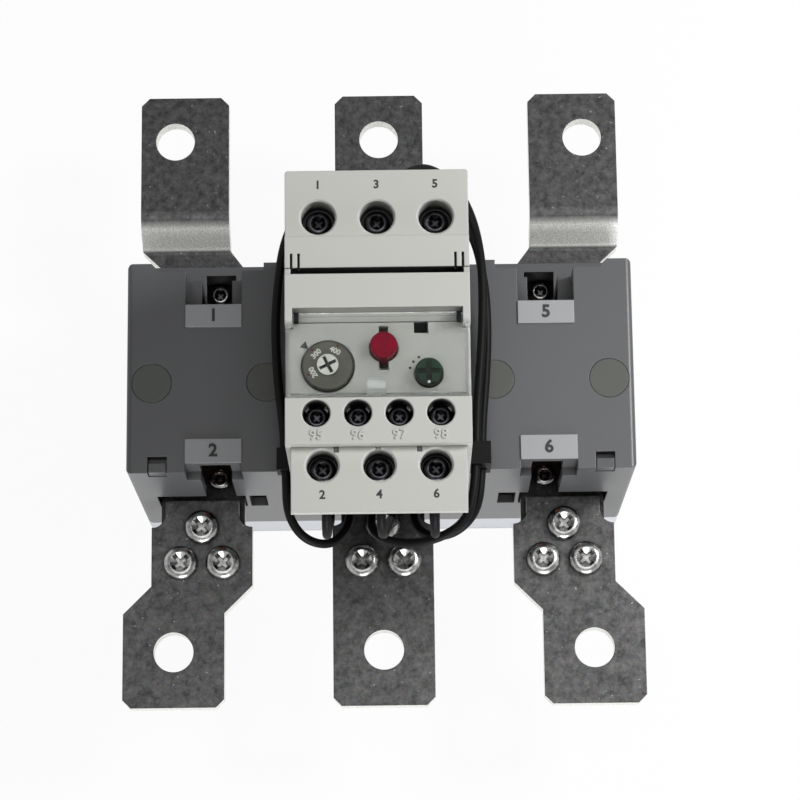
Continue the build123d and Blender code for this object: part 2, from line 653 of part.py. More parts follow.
# Load terminal block under the relay, with a hood and ribs over the conductor entries
body_back = CHAMBER_BACK - 1.5
with BuildPart() as load_block:
    with BuildSketch(Plane.YZ.offset(-LOAD_BLOCK_WIDTH / 2)):
        with BuildLine():
            Polyline(
                (CASE_END_Y, body_back),
                (CASE_END_Y, LOAD_BLOCK_FACE),
                (LOAD_BLOCK_END_Y, LOAD_BLOCK_FACE),
                (LOAD_BLOCK_END_Y, LOAD_BLOCK_FACE - HOOD),
                (LOAD_BLOCK_BODY_Y, body_back),
                close=True,
            )
        make_face()
    extrude(amount=LOAD_BLOCK_WIDTH)
    load_wells = [(x, LOAD_SCREW_Y) for x in LOAD_X]
    entry_y = (LOAD_BLOCK_END_Y - 1, LOAD_BLOCK_BODY_Y)
    for x in LOAD_X:
        block(around(x, CHAMBER_WIDTH + 1.4), entry_y, (body_back - 1, LOAD_BLOCK_FACE - HOOD), Mode.SUBTRACT)
        block(around(x, CHAMBER_WIDTH), (LOAD_BLOCK_BODY_Y - 1, CASE_END_Y - 1.4), chamber_z, Mode.SUBTRACT)
        block(
            around(x, STRIP_WIDTH + 2 * GAP + 1.4), (CASE_END_Y - 1.4, CASE_END_Y), strip_slot_z, Mode.SUBTRACT
        )
    drill(load_wells, LOAD_WELL, (well_back, LOAD_BLOCK_FACE))
    drill(load_wells, MAIN_SHANK + GAP, (chamber_front, well_back))
    rims = load_block.edges().filter_by(GeomType.CIRCLE).filter_by(
        lambda edge: abs(edge.center().Z - LOAD_BLOCK_FACE) < 0.01
    )
    chamfer(rims, WELL_CHAMFER)
    for x in LATCH_X:
        block(
            around(x, LATCH_NOTCH[0]), (CASE_END_Y - LATCH_NOTCH[1], CASE_END_Y),
            (LOAD_BLOCK_FACE - LATCH_NOTCH[2], LOAD_BLOCK_FACE), Mode.SUBTRACT,
        )
load_block.part.label = "load_block"
export_step(load_block.part, "parts/load_block.step")

# Relay case: an open box with the guides and bosses that carry the trip mechanism
inner_half = HEAD_WIDTH / 2 - HEAD_WALL
case_inner_y = (CASE_END_Y + HEAD_WALL, CASE_TOP_Y - HEAD_WALL)
slider_y = around(BIMETAL_Y, SLIDER_DEPTH)
slider_z = (SLIDER_BACK, SLIDER_BACK + SLIDER)
slider_x = (-inner_half + 0.5, inner_half - 0.5 - TRIP_TRAVEL - GAP)
guide_x = (LINE_X[2] + STRIP_WIDTH / 2 + GAP, inner_half)
carriage_y = around(CARRIAGE_POST_Y, CARRIAGE)
carriage_z = (CARRIAGE_BACK, CARRIAGE_BACK + CARRIAGE_HEIGHT)
bracket_z = (CARRIAGE_BACK - 0.8, CARRIAGE_BACK + CARRIAGE_HEIGHT + 0.8)
with BuildPart() as relay_case:
    with BuildSketch(Plane.XY.offset(CASE_BACK)):
        with Locations((0, (CASE_END_Y + CASE_TOP_Y) / 2)):
            Rectangle(HEAD_WIDTH, CASE_TOP_Y - CASE_END_Y)
    extrude(amount=CASE_RIM - CASE_BACK)
    block((-inner_half, inner_half), case_inner_y, (CASE_BACK + CASE_FLOOR, CASE_RIM), Mode.SUBTRACT)
    for x in LINE_X:
        foot_y = around(BIMETAL_Y, BIMETAL[1] + 2)
        foot_z = (CASE_BACK + CASE_FLOOR, CASE_BACK + CASE_FLOOR + BIMETAL_SEAT)
        block(around(x, BIMETAL[0] + 4), foot_y, foot_z)
        block(around(x, BIMETAL[0] + 0.1), around(BIMETAL_Y, BIMETAL[1] + 0.1), foot_z, Mode.SUBTRACT)
        strip_gap = around(x, STRIP_WIDTH + 2 * GAP)
        block(strip_gap, (case_inner_y[1], CASE_TOP_Y), strip_slot_z, Mode.SUBTRACT)
        block(strip_gap, (CASE_END_Y, case_inner_y[0]), strip_slot_z, Mode.SUBTRACT)
    for side in (-1, 1):
        guide = mirrored(guide_x, side)
        channel = mirrored((guide_x[0], inner_half), side)
        block(guide, (slider_y[0] - 1.5, slider_y[1] + 1.2), (SLIDER_BACK - 2, slider_z[1] + 1.5))
        block(
            channel, (slider_y[0] - GAP, slider_y[1] + GAP), (SLIDER_BACK - GAP, slider_z[1] + GAP),
            Mode.SUBTRACT,
        )
    boss_top = LEVER_BACK - GAP
    drill([(LEVER_X, LEVER_Y)], PIVOT_RADIUS + 1.4, (CASE_BACK + CASE_FLOOR, boss_top), Mode.ADD)
    drill([(LEVER_X, LEVER_Y)], PIVOT_RADIUS, (boss_top - PIVOT_DEPTH, boss_top))
    for bracket in ((-19.5, -17.5), (10.0, 12.0)):
        block(bracket, (case_inner_y[0], carriage_y[1] + 1.1), bracket_z)
        block(
            bracket, (carriage_y[0] - GAP, carriage_y[1] + GAP), (carriage_z[0] - GAP, carriage_z[1] + GAP),
            Mode.SUBTRACT,
        )
relay_case.part.label = "relay_case"
export_step(relay_case.part, "parts/relay_case.step")

# Line strips, bimetals, and the heaters with their tails to the load terminals
with BuildPart() as line_strips:
    for x in LINE_X:
        block(around(x, STRIP_WIDTH), (BIMETAL_Y + HEATER[1] / 2, LINE_SCREW_Y), strip_z)
line_strips.part.label = "line_strips"
export_step(line_strips.part, "parts/line_strips.step")

with BuildPart() as bimetals:
    for x in LINE_X:
        block(around(x, BIMETAL[0]), around(BIMETAL_Y, BIMETAL[1]), (CASE_BACK + CASE_FLOOR, BIMETAL_TOP))
bimetals.part.label = "bimetals"
export_step(bimetals.part, "parts/bimetals.step")

heater_z = (foot_z[1] + GAP, HEATER_TOP)
heater_y = around(BIMETAL_Y, HEATER[1])
with BuildPart() as heaters:
    for x in LINE_X:
        block(around(x, HEATER[0]), heater_y, heater_z)
        block(
            around(x, HEATER[0] - 2 * HEATER_WALL), around(BIMETAL_Y, HEATER[1] - 2 * HEATER_WALL), heater_z,
            Mode.SUBTRACT,
        )
        # Leg up to the line strip, and the tail to the load terminal
        leg = around(x, HEATER_LEG[0])
        block(leg, (heater_y[1], heater_y[1] + HEATER_LEG[1]), (HEATER_TOP - LEG_LAP, strip_z[0]))
        block(leg, (heater_y[0] - HEATER_LEG[1], heater_y[0]), (HEATER_TOP - LEG_LAP, strip_z[1]))
        block(around(x, STRIP_WIDTH), (CASE_END_Y - TAIL_REACH, heater_y[0]), strip_z)
heaters.part.label = "heaters"
export_step(heaters.part, "parts/heaters.step")

# Slider bar: the bimetal tips push it to the right, and its post turns the trip lever
lever_slope = (TRIP_TRAVEL / 2) / (SLIDER_POST_Y - LEVER_Y)


def lever_point(y):
    """Where the straight trip lever stands at the height y, at rest."""
    return (LEVER_X - lever_slope * (y - LEVER_Y), y)


with BuildPart() as slider_bar:
    block(slider_x, slider_y, slider_z)
    for x in LINE_X:
        tip = (x - BIMETAL[0] / 2 - TRIP_TRAVEL - GAP, x + BIMETAL[0] / 2 + GAP)
        block(tip, around(BIMETAL_Y, BIMETAL[1] + 2 * GAP), slider_z, Mode.SUBTRACT)
    drill([lever_point(SLIDER_POST_Y)], POST_RADIUS, (slider_z[1], LEVER_BACK + LEVER + 0.5), Mode.ADD)
slider_bar.part.label = "slider_bar"
export_step(slider_bar.part, "parts/slider_bar.step")

with BuildPart() as pivot_pin:
    drill([(LEVER_X, LEVER_Y)], PIVOT_RADIUS, (boss_top - PIVOT_DEPTH, LEVER_BACK + LEVER + 1), Mode.ADD)
pivot_pin.part.label = "pivot_pin"
export_step(pivot_pin.part, "parts/pivot_pin.step")

# Trip lever: a straight arm on the pivot pin, with a slot for each post that it joins
arm_ends = (CARRIAGE_POST_Y - 2.6, FLAG_POST_Y + 2.8)
with BuildPart() as trip_lever:
    with BuildSketch(Plane.XY.offset(LEVER_BACK)):
        with BuildLine():
            low, high = lever_point(arm_ends[0]), lever_point(arm_ends[1])
            Polyline(
                (low[0] - LEVER_WIDTH / 2, low[1]),
                (low[0] + LEVER_WIDTH / 2, low[1]),
                (high[0] + LEVER_WIDTH / 2, high[1]),
                (high[0] - LEVER_WIDTH / 2, high[1]),
                close=True,
            )
        make_face()
        with Locations((LEVER_X, LEVER_Y)):
            Circle(LEVER_WIDTH / 2 + 0.8)
            Circle(PIVOT_RADIUS + PIVOT_FIT, mode=Mode.SUBTRACT)
        for post_y in (SLIDER_POST_Y, CARRIAGE_POST_Y, FLAG_POST_Y):
            with Locations(lever_point(post_y)):
                SlotCenterToCenter(0.9, 2 * (POST_RADIUS + GAP), rotation=90, mode=Mode.SUBTRACT)
    extrude(amount=LEVER)
    fillet(trip_lever.edges().filter_by(Axis.Z).group_by(Axis.Y)[0], 1)
    fillet(trip_lever.edges().filter_by(Axis.Z).group_by(Axis.Y)[-1], 1)
trip_lever.part.label = "trip_lever"
export_step(trip_lever.part, "parts/trip_lever.step")

# Contact carriage with its two bridges: one closed at rest, one open at rest
carriage_post = lever_point(CARRIAGE_POST_Y)
carriage_travel = TRIP_TRAVEL * (LEVER_Y - CARRIAGE_POST_Y) / (SLIDER_POST_Y - LEVER_Y)
carriage_x = (-inner_half + carriage_travel + 0.4, 13.0)
with BuildPart() as contact_carriage:
    block(carriage_x, carriage_y, carriage_z)
    drill([carriage_post], CARRIAGE / 2, (carriage_z[0] + 1, LEVER_BACK + LEVER + 0.5), Mode.ADD)
contact_carriage.part.label = "contact_carriage"
export_step(contact_carriage.part, "parts/contact_carriage.step")

bridge_y = (CONTACT_Y[0] - 1.1, CONTACT_Y[1] + 1.1)
bridge_z = (carriage_z[1], carriage_z[1] + 4)
for name, x in (("nc_bridge", NC_X - CONTACT), ("no_bridge", NO_X - CONTACT)):
    with BuildPart() as bridge:
        block((x, x + CONTACT), bridge_y, bridge_z)
    bridge.part.label = name
    export_step(bridge.part, f"parts/{name}.step")

# Fixed contacts: a blade down beside each bridge and a tongue under its terminal screw
aux_floor = HEAD_FRONT - HEAD_SINK - AUX_HEAD_HEIGHT
washer_z = (aux_floor - 1.0, aux_floor)
tongue_z = (washer_z[0] - 1.0, washer_z[0])
tongue_y = around(AUX_SCREW_Y, AUX_WASHER)
aux_points = [(x, AUX_SCREW_Y) for x in AUX_X]
nc_face = NC_X + 0.15
no_face = NO_X - CONTACT - NO_GAP
for name, blade, far_x, near_x in (
    ("nc_contacts", (nc_face, nc_face + 0.8), AUX_X[0], AUX_X[1]),
    ("no_contacts", (no_face - 0.8, no_face), AUX_X[3], AUX_X[2]),
):
    with BuildPart() as contacts:
        for y, terminal_x in ((CONTACT_Y[0], far_x), (CONTACT_Y[1], near_x)):
            reach = around(terminal_x, AUX_WASHER)
            span = (min(blade[0], reach[0]), max(blade[1], reach[1]))
            tongue_low = min(y - 1, tongue_y[0])
            block(blade, around(y, 2), (bridge_z[0] + 0.5, tongue_z[0]))
            block(span, (tongue_low, tongue_low + 2), tongue_z)
            block(reach, (tongue_low, tongue_y[1]), tongue_z)
        drill(aux_points, 1.7, tongue_z)
    contacts.part.label = name
    export_step(contacts.part, f"parts/{name}.step")

with BuildPart() as aux_washers:
    for x, y in aux_points:
        block(around(x, AUX_WASHER), around(y, AUX_WASHER), washer_z)
    drill(aux_points, 1.7, washer_z)
aux_washers.part.label = "aux_washers"
export_step(aux_washers.part, "parts/aux_washers.step")

with BuildPart() as aux_screws:
    for x, y in aux_points:
        screw(x, y, washer_z[1], AUX_HEAD, AUX_HEAD_HEIGHT, 1.6, AUX_SHANK, 0.15)
aux_screws.part.label = "aux_screws"
export_step(aux_screws.part, "parts/aux_screws.step")

# Control terminal block
with BuildPart() as aux_block:
    with BuildSketch(Plane.XY.offset(CASE_RIM)):
        with Locations((0, (CASE_END_Y + FRONT_END_Y) / 2)):
            Rectangle(HEAD_WIDTH, FRONT_END_Y - CASE_END_Y)
    extrude(amount=HEAD_FRONT - CASE_RIM)
    block((-inner_half, inner_half), (case_inner_y[0], FRONT_END_Y), (CASE_RIM, aux_floor), Mode.SUBTRACT)
    for x in (AUX_X[0] + 5, AUX_X[3] - 5):
        block(around(x, 1), (tongue_y[0] - 0.4, FRONT_END_Y), (CASE_RIM, aux_floor))
    drill(aux_points, AUX_WELL, (aux_floor, HEAD_FRONT))
    rims = aux_block.edges().filter_by(GeomType.CIRCLE).filter_by(
        lambda edge: abs(edge.center().Z - HEAD_FRONT) < 0.01
    )
    chamfer(rims, WELL_CHAMFER / 2)
aux_block.part.label = "aux_block"
export_step(aux_block.part, "parts/aux_block.step")

# Relay front: top band, sunk dial panel, lugs for the cover, and the bridge that guides the controls
cups = [(TEST_X, TEST_Y), (RESET_X, RESET_Y)]
flag_z = (PANEL_FACE - 3.7, PANEL_FACE - 2.5)
bridge_top = BRIDGE_BACK + BRIDGE
with BuildPart() as relay_front:
    with BuildSketch(Plane.YZ.offset(-HEAD_WIDTH / 2)):
        with BuildLine():
            Polyline(
                (FRONT_END_Y, CASE_RIM),
                (CASE_TOP_Y, CASE_RIM),
                (CASE_TOP_Y, HEAD_FRONT),
                (BAND_Y, HEAD_FRONT),
                (BAND_Y, PANEL_FACE),
                (FRONT_END_Y, PANEL_FACE),
                close=True,
            )
        make_face()
    extrude(amount=HEAD_WIDTH)
    front_inner_y = (FRONT_END_Y + HEAD_WALL, CASE_TOP_Y - HEAD_WALL)
    block((-inner_half, inner_half), front_inner_y, (CASE_RIM, PANEL_FACE - PANEL), Mode.SUBTRACT)
    block((-inner_half, inner_half), (BAND_Y + HEAD_WALL, front_inner_y[1]), (CASE_RIM, HEAD_FRONT - HEAD_WALL), Mode.SUBTRACT)
    for side in (-1, 1):
        lug = mirrored((LUG_X, HEAD_WIDTH / 2), side)
        with BuildSketch(Plane.YZ.offset(lug[0])):
            with BuildLine():
                Line((BAND_Y, PANEL_FACE), (BAND_Y, HEAD_FRONT))
                Line((BAND_Y, HEAD_FRONT), (HINGE_Y, HEAD_FRONT))
                RadiusArc((HINGE_Y, HEAD_FRONT), (HINGE_Y - 1.7, HINGE_Z), -(HEAD_FRONT - HINGE_Z))
                Line((HINGE_Y - 1.7, HINGE_Z), (HINGE_Y - 1.7, PANEL_FACE))
                Line((HINGE_Y - 1.7, PANEL_FACE), (BAND_Y, PANEL_FACE))
            make_face()
        extrude(amount=lug[1] - lug[0])
    with BuildSketch(Plane.YZ.offset(-LUG_X - 1.2)):
        with Locations((HINGE_Y, HINGE_Z)):
            Circle(HINGE_PIN + RUNNING)
    extrude(amount=2 * (LUG_X + 1.2), mode=Mode.SUBTRACT)
    block((-inner_half, inner_half), (front_inner_y[0], BRIDGE_Y), (BRIDGE_BACK, bridge_top))
    drill(cups, CUP_RADIUS, (CUP_BACK, bridge_top), Mode.ADD)
    drill(cups, BUTTON_RADIUS, (CUP_BACK + 1.5, bridge_top))
    drill(cups, STEM_RADIUS + RUNNING, (CUP_BACK, CUP_BACK + 1.5))
    panel_z = (PANEL_FACE - PANEL, PANEL_FACE)
    drill([(DIAL_X, DIAL_Y)], SPINDLE_RADIUS + RUNNING, (BRIDGE_BACK, bridge_top))
    drill([(DIAL_X, DIAL_Y)], DIAL_RADIUS + GAP, panel_z)
    drill([(TEST_X, TEST_Y)], BUTTON_RADIUS + GAP, panel_z)
    drill([(RESET_X, RESET_Y)], BUTTON_RADIUS + GAP, panel_z)
    block(around(TEST_X, 2.3), around(TEST_Y, 2 * BUTTON_RADIUS + 4.4), panel_z, Mode.SUBTRACT)
    block(FLAG_X, FLAG_Y, panel_z, Mode.SUBTRACT)
    # Hanger that the flag slides on
    ledge_x = (1.8, FLAG_X[1] + 2.0)
    block(ledge_x, (-6.0, -4.2), (flag_z[0] - GAP - 1.4, PANEL_FACE - PANEL))
    block((ledge_x[0] + 1.6, ledge_x[1] - 1.6), (-6.0, -4.2), (flag_z[0] - GAP, PANEL_FACE - PANEL), Mode.SUBTRACT)
relay_front.part.label = "relay_front"
export_step(relay_front.part, "parts/relay_front.step")

# Trip flag: a plate behind the window, on a leg that the trip lever moves
flag_post = lever_point(FLAG_POST_Y)
flag_travel = TRIP_TRAVEL * (FLAG_POST_Y - LEVER_Y) / (SLIDER_POST_Y - LEVER_Y)
with BuildPart() as trip_flag:
    block((flag_post[0] - POST_RADIUS, FLAG_X[0] - GAP), (FLAG_Y[0] - 0.6, FLAG_POST_Y + POST_RADIUS), flag_z)
    drill([flag_post], POST_RADIUS, (LEVER_BACK - 0.5, flag_z[0]), Mode.ADD)
trip_flag.part.label = "trip_flag"
export_step(trip_flag.part, "parts/trip_flag.step")

# Current dial and the eccentric cam on its spindle
dial_z = (PANEL_FACE - 1.7, PANEL_FACE + 1.5)
cam_z = (BRIDGE_BACK - 5.0, BRIDGE_BACK - 0.8)
with BuildPart() as current_dial:
    drill([(DIAL_X, DIAL_Y)], DIAL_RADIUS, dial_z, Mode.ADD)
    chamfer(current_dial.edges().group_by(Axis.Z)[-1], 0.4)
    drill([(DIAL_X, DIAL_Y)], 2.65, (dial_z[1], dial_z[1] + 0.6), Mode.ADD)
    drill([(DIAL_X, DIAL_Y)], SPINDLE_RADIUS, (cam_z[0], dial_z[0]), Mode.ADD)
    for turn in (27, 117):
        with BuildSketch(Plane.XY.offset(dial_z[1] - 0.8)):
            with Locations((DIAL_X, DIAL_Y)):
                Rectangle(4.4, 0.8, rotation=turn)
        extrude(amount=2, mode=Mode.SUBTRACT)
current_dial.part.label = "current_dial"
export_step(current_dial.part, "parts/current_dial.step")

with BuildPart() as dial_cam:
    drill([(DIAL_X + 1.0, DIAL_Y)], 3.6, cam_z, Mode.ADD)
    drill([(DIAL_X, DIAL_Y)], SPINDLE_RADIUS, cam_z)
dial_cam.part.label = "dial_cam"
export_step(dial_cam.part, "parts/dial_cam.step")

# Test button: a cap, a shoulder and a stem in one moulding
shoulder_z = (bridge_top + 1.0, bridge_top + 1.0 + PRESS_TRAVEL)
stem_back = LEVER_BACK + LEVER + PRESS_TRAVEL + 0.5
with BuildPart() as test_button:
    drill([(TEST_X, TEST_Y)], STEM_RADIUS, (stem_back, shoulder_z[0]), Mode.ADD)
    drill([(TEST_X, TEST_Y)], BUTTON_RADIUS - GAP, shoulder_z, Mode.ADD)
    drill([(TEST_X, TEST_Y)], BUTTON_RADIUS, (shoulder_z[1], COVER_FACE - COVER - 0.6), Mode.ADD)
    chamfer(test_button.edges().group_by(Axis.Z)[-1], 0.3)
test_button.part.label = "test_button"
export_step(test_button.part, "parts/test_button.step")

# Reset: a plunger that slides, and a knob that also turns on it between hand and automatic
spigot_top = PANEL_FACE + 1.0
with BuildPart() as reset_plunger:
    drill([(RESET_X, RESET_Y)], STEM_RADIUS, (stem_back, shoulder_z[0]), Mode.ADD)
    drill([(RESET_X, RESET_Y)], BUTTON_RADIUS - GAP, shoulder_z, Mode.ADD)
    drill([(RESET_X, RESET_Y)], STEM_RADIUS, (shoulder_z[1], spigot_top), Mode.ADD)
reset_plunger.part.label = "reset_plunger"
export_step(reset_plunger.part, "parts/reset_plunger.step")

knob_z = (shoulder_z[1] + GAP, COVER_FACE - COVER - 0.9)
with BuildPart() as reset_knob:
    drill([(RESET_X, RESET_Y)], BUTTON_RADIUS, knob_z, Mode.ADD)
    chamfer(reset_knob.edges().group_by(Axis.Z)[-1], 0.3)
    drill([(RESET_X, RESET_Y)], STEM_RADIUS + RUNNING, (knob_z[0], spigot_top + GAP))
    for size in ((5.4, 1.3), (1.3, 5.0)):
        block(around(RESET_X, size[0]), around(RESET_Y, size[1]), (knob_z[1] - 0.8, knob_z[1]), Mode.SUBTRACT)
reset_knob.part.label = "reset_knob"
export_step(reset_knob.part, "parts/reset_knob.step")

# Return springs in their cups
WIRE = 0.3
SPRING_RADIUS = 2.2
spring_z = (CUP_BACK + 1.5 + WIRE, shoulder_z[0] - WIRE)
for name, (x, y) in zip(("test_spring", "reset_spring"), cups):
    with BuildPart() as spring:
        with BuildLine() as coil:
            Helix((spring_z[1] - spring_z[0]) / 4, spring_z[1] - spring_z[0], SPRING_RADIUS, center=(x, y, spring_z[0]))
        with BuildSketch(Plane(origin=coil.line @ 0, z_dir=coil.line % 0)):
            Circle(WIRE)
        sweep(is_frenet=True)
    spring.part.label = name
    export_step(spring.part, f"parts/{name}.step")

# Clear cover: a shallow tray that swings on stub pins at its line-side edge
cover_half = HEAD_WIDTH / 2 - 0.2
plate_back = COVER_FACE - COVER
with BuildPart() as cover:
    block((-cover_half, cover_half), (COVER_END_Y, HINGE_Y - 2.1), (PANEL_FACE + 0.4, COVER_FACE))
    block(
        (-cover_half + 1, cover_half - 1), (COVER_END_Y + 1, HINGE_Y - 2.1), (PANEL_FACE + 0.4, plate_back),
        Mode.SUBTRACT,
    )
    block((-LUG_X + 0.4, LUG_X - 0.4), (HINGE_Y - 2.2, HINGE_Y), (plate_back, COVER_FACE))
    with BuildSketch(Plane.YZ.offset(-LUG_X + 0.4)):
        with Locations((HINGE_Y, HINGE_Z)):
            Circle(HINGE_RADIUS)
    extrude(amount=2 * (LUG_X - 0.4))
    with BuildSketch(Plane.YZ.offset(-LUG_X - 0.9)):
        with Locations((HINGE_Y, HINGE_Z)):
            Circle(HINGE_PIN)
    extrude(amount=2 * (LUG_X + 0.9))
    block((-2.7, 1.9), (COVER_END_Y + 0.4, COVER_END_Y + 4.5), (COVER_FACE, COVER_FACE + 0.5))
cover.part.label = "cover"
export_step(cover.part, "parts/cover.step")

# Clips on the sides of the mounting unit that hold the leads
for name, side, holes in (
    ("left", -1, [(-HEAD_WIDTH / 2 - CLIP_OUT[0], CT_FRONT + CLIP_UP[0])]),
    ("right", 1, [(HEAD_WIDTH / 2 + out, CT_FRONT + up) for out, up in zip(CLIP_OUT[1:], CLIP_UP)]),
):
    reach = max(abs(hole[0]) for hole in holes) + CLIP_BORE + 0.8
    top = holes[-1][1] + CLIP_BORE + 0.8
    with BuildPart() as lead_clip:
        block(mirrored((HEAD_WIDTH / 2, reach), side), CLIP_Y, (CT_FRONT, top))
        with BuildSketch(xz_plane(CLIP_Y[1])):
            with Locations(*holes):
                Circle(CLIP_BORE)
        extrude(amount=CLIP_Y[1] - CLIP_Y[0], mode=Mode.SUBTRACT)
    lead_clip.part.label = f"lead_clip_{name}"
    export_step(lead_clip.part, f"parts/lead_clip_{name}.step")

# Secondary leads: each runs from a terminal of the head to the bush in the block's load wall
FALL = [(-47.8, LEAD_Z - 0.5), (-53, 120.6), (-51.4, 112.2), (-47, 103), (-44, 93.5), (-43, 84), (-41.6, 75.4), (-36.4, BUSH_Z)]
LEADS = {
    "line_lead_left": [
        (-14.4, LEAD_START_Y, LEAD_Z), (-14.4, 32, LEAD_Z), (-15.8, 39.5, 118), (-20, 39, 105),
        (-25.4, 32, 96), (-27.4, 19.5, 92.3), (-28, 7, 91), (-27.3, -6, 90.4), (-25.7, -19, 90.1),
        (-25.2, -32, 90.2), (-25, -41.5, 88.8), (-20.8, -47.6, 85.6), (-14.2, -48.6, 81),
        (-9.6, -43.6, 74.5), (-8.4, -36.2, BUSH_Z), (-8.4, LEAD_END_Y, BUSH_Z),
    ],
    "line_lead_middle": [
        (0, LEAD_START_Y, LEAD_Z), (0.6, 33, LEAD_Z + 0.4), (9.5, 43.2, 126.5), (18.5, 42.5, 117.5),
        (24.6, 36, 107), (27.4, 25, 100.5), (27.6, 12, 97.8), (26.8, -1, 96.4), (25.6, -13.5, 95.6),
        (25.2, -25, 95.2), (24.6, -36, 95.4), (22.5, -45, 94.6), (14, -49.6, 92), (4, -49.6, 88),
        (-3, -45, 79), (-2.8, -36.2, BUSH_Z), (-2.8, LEAD_END_Y, BUSH_Z),
    ],
    "line_lead_right": [
        (14.4, LEAD_START_Y, LEAD_Z), (14.4, 31, LEAD_Z), (15.2, 37, 118.5), (19, 37, 107),
        (25.8, 32, 97.5), (28.4, 19.5, 92.4), (28.9, 7, 91), (28.1, -6, 90.4), (26.9, -19, 90.1),
        (26.6, -32, 90.2), (25.4, -41, 89), (20, -46.4, 86), (13, -46.6, 80.5),
        (9, -42.4, 74), (8.4, -35.6, BUSH_Z), (8.4, LEAD_END_Y, BUSH_Z),
    ],
}
for name, start_x, end_x in (("left", LOAD_X[0], -14.0), ("middle", LOAD_X[1], 2.8), ("right", LOAD_X[2], 14.0)):
    shares = (0.02, 0.1, 0.3, 0.6, 0.85, 0.95, 1.05, 1.0)
    fall = [(start_x + share * (end_x - start_x), y, z) for share, (y, z) in zip(shares, FALL)]
    LEADS[f"load_lead_{name}"] = [(start_x, -41.0, LEAD_Z), *fall, (end_x, LEAD_END_Y, BUSH_Z)]


def bend_radii(points):
    """As large an arc at each corner as its two runs allow."""
    radii = []
    for before, corner, after in zip(points, points[1:], points[2:]):
        arrive = Vector(*corner) - Vector(*before)
        leave = Vector(*after) - Vector(*corner)
        turn = radians(arrive.get_angle(leave))
        radii.append(0.45 * min(arrive.length, leave.length) / tan(turn / 2))
    return radii


for name, points in LEADS.items():
    radii = bend_radii(points)
    with BuildPart() as lead:
        with BuildLine() as route:
            FilletPolyline(*points, radius=radii)
        with BuildSketch(Plane(origin=route.wire() @ 0, z_dir=route.wire() % 0)):
            Circle(LEAD_RADIUS)
        sweep()
    lead.part.label = name
    export_step(lead.part, f"parts/{name}.step")
    print(name, "length", round(route.wire().length, 1), "radii", [round(radius, 1) for radius in radii])
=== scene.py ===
"""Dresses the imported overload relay: finishes, screw heads, leads, marks, stage and camera."""

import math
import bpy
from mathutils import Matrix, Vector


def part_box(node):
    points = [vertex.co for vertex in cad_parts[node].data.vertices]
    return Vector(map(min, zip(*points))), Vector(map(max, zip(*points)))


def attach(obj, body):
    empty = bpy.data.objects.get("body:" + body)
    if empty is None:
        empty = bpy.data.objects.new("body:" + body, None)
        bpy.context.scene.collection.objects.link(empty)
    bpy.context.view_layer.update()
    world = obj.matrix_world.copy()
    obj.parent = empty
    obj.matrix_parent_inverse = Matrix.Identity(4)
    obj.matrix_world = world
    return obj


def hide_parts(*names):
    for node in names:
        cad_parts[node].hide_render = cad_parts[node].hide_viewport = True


bl_info = {
    "name": "Overload Relay",
    "version": (1, 0, 0),
    "blender": (4, 5, 0),
    "location": "View3D > Sidebar > Relay",
    "description": "Builds the looks of a transformer-fed overload relay round its fixed frame",
    "category": "Object",
}

import bpy
from mathutils import Matrix, Vector

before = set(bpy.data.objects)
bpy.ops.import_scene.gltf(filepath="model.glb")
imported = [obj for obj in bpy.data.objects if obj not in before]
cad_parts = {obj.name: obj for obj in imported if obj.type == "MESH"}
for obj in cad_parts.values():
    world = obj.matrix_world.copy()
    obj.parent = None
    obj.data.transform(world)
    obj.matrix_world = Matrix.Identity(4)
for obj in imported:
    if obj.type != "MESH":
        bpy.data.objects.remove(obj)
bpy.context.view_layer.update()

MM = 0.001

# Places in millimetres: terminal screws and their figures, axes of the controls, axis and end of the
# cover's hinge, and marking pads
LINE_X, LINE_Y, LINE_FIGURE_Y = (-14.4, 0, 14.4), 18.3, 26.6
LOAD_X, LOAD_Y, LOAD_FIGURE_Y = (-13.7, 0, 13.7), -43.8, -51.0
AUX_X, AUX_Y, AUX_FIGURE_Y = (-15, -5, 5, 15), -31.5, -37.0
DIAL = (-12.2, -18.7)
KNOB = (12.3, -20.8)
HINGE_Y, HINGE_Z, HINGE_END = -7.6, 163.3, 19.7
PAD_X = (-44.9, 44.9)
LINE_PAD_Y, LOAD_PAD_Y = 14.15, -23.2
SIDES = ("left", "middle", "right")

# Surfaces in metres: size and height of the moulds' grain, radius of a moulded edge, widest gap that is
# painted dark as shade, blur between two colours and film of printed ink
GRAIN, GRAIN_HEIGHT = 0.5 * MM, 0.02 * MM
EDGE = 0.35 * MM
SHADED_GAP = 7 * MM
BLUR = 0.03 * MM
PRINT_FILM = 0.02 * MM

# Directions in which a rounded edge is sampled
EDGE_SAMPLES = 6

# Bands that a wave texture draws in one unit of its scale
WAVES = 3.2

# An end face's normal has at least this much along the piece's axis
END_FACE = 0.9


def top_of(node):
    """Height of a node's highest point."""
    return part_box(node)[1].z


class RelayColours(bpy.types.PropertyGroup):
    """Finishes that can be changed, as sRGB hex values."""

    housing: bpy.props.StringProperty(
        name="Housing", description="Dark moulding of the transformer block", default="545557"
    )
    base: bpy.props.StringProperty(
        name="Base", description="Moulded base under the transformer block", default="C6C9CF"
    )
    shell: bpy.props.StringProperty(
        name="Relay shell", description="Light moulding of the relay", default="BDBDB8"
    )
    tin: bpy.props.StringProperty(
        name="Tinned bar", description="Dull tin on the copper bars", default="4B4B4B"
    )
    test: bpy.props.StringProperty(
        name="Test button", description="Gloss moulding of the button", default="7E0020"
    )
    reset: bpy.props.StringProperty(
        name="Reset plunger", description="Gloss moulding of the plunger and trip flag", default="2C4A38"
    )
    knob: bpy.props.StringProperty(
        name="Reset knob", description="Gloss moulding of the knob", default="243F30"
    )


